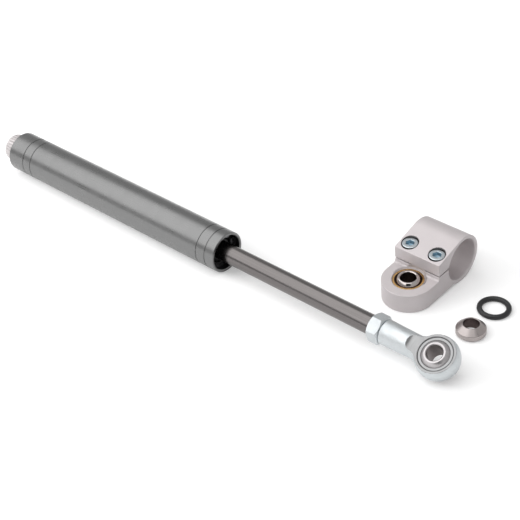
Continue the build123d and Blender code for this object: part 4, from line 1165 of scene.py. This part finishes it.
spacer_base = Vector(mounts["spacer_bore"]["pos_m"]) - Vector((0, 0, SPACER_HEIGHT / 2 * mm))
spacer_place = facing(spacer_base, (0, 0, 1))
spacer_finish = worked_metal(
    "turned_spacer", SPACER_STEEL, 0.33, spacer_place, TURNED_MARKS, shade=0.06, depth=0.003
)
# Painted shade: the spacer's bore is coloured dark for the shade inside the hole.
spacer_bore_finish = worked_metal(
    "spacer_bore", SPACER_SHADE, 0.35, spacer_place, REAMED_MARKS, shade=0.1, depth=0.003
)
spacer_mesh = turned("spacer", spacer_outline(), spacer_place)
spacer = show("spacer", spacer_mesh, "spacer", ["conical_spacer"], spacer_finish)
refinished(spacer, spacer_place, in_bolt_bore, spacer_bore_finish)

# Loose O-ring.
# The travel marker is a moulded nitrile ring of round cord, dull black with a faint sheen.

CORD_RADIUS = 1.35
RING_MEAN_RADIUS = 7.15


def ring_outline():
    """Round outline of the cord: (r cos s, R + r sin s)."""
    s = np.arange(64) * 2 * np.pi / 64
    return np.stack([CORD_RADIUS * np.cos(s), RING_MEAN_RADIUS + CORD_RADIUS * np.sin(s)], axis=-1)


ring_low, ring_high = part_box("loose_o_ring")
ring_place = facing((ring_low + ring_high) / 2, (0, 0, 1))
ring_mesh = turned("travel_ring", ring_outline(), ring_place, 256)
ring_finish = moulded_rubber("nitrile_ring", RUBBER_BLACK, 0.42)
show("travel_ring", ring_mesh, "o_ring", ["loose_o_ring"], ring_finish)

# Pieces inside.
# The working tube, valve, piston, spindle, seals, detent and circlips sit inside the tube. They keep
# their CAD shape and take the finish of what they are made of: steel, aluminium, brass, bronze,
# plastic, rubber and foam.

INNER_STEEL = (0.5, 0.5, 0.51)
VALVE_GREY = (0.6, 0.6, 0.61)
NEEDLE_BRASS = (0.55, 0.4, 0.15)
FOAM_BLACK = (0.02, 0.02, 0.02)
FILLED_BROWN = (0.22, 0.13, 0.07)
HONED_MARKS = (20.0, 60.0, 40.0)

inside_finishes = {
    "inner_steel": worked_metal("inner_steel", INNER_STEEL, 0.25, damper_place, HONED_MARKS),
    "foam_black": moulded_rubber("closed_foam", FOAM_BLACK, 0.85),
    "bush_bronze": worked_metal("bush_bronze", BRONZE, 0.35, damper_place, TURNED_MARKS),
    "seal_rubber": rubber_finish,
    "circlip_steel": circlip_finish,
    "ring_plastic": moulded_rubber("filled_plastic", FILLED_BROWN, 0.5),
    "valve_aluminium": worked_metal("valve_aluminium", VALVE_GREY, 0.35, damper_place, TURNED_MARKS),
    "needle_brass": worked_metal("needle_brass", NEEDLE_BRASS, 0.25, damper_place, TURNED_MARKS),
    "zinc_steel": zinc_finish,
    "ball_chrome": chrome_finish,
    "guide_black": guide_finish,
}
for name, node in frame["nodes"].items():
    if not node.hide_render:
        node.data.materials.clear()
        node.data.materials.append(inside_finishes[slots[name]])
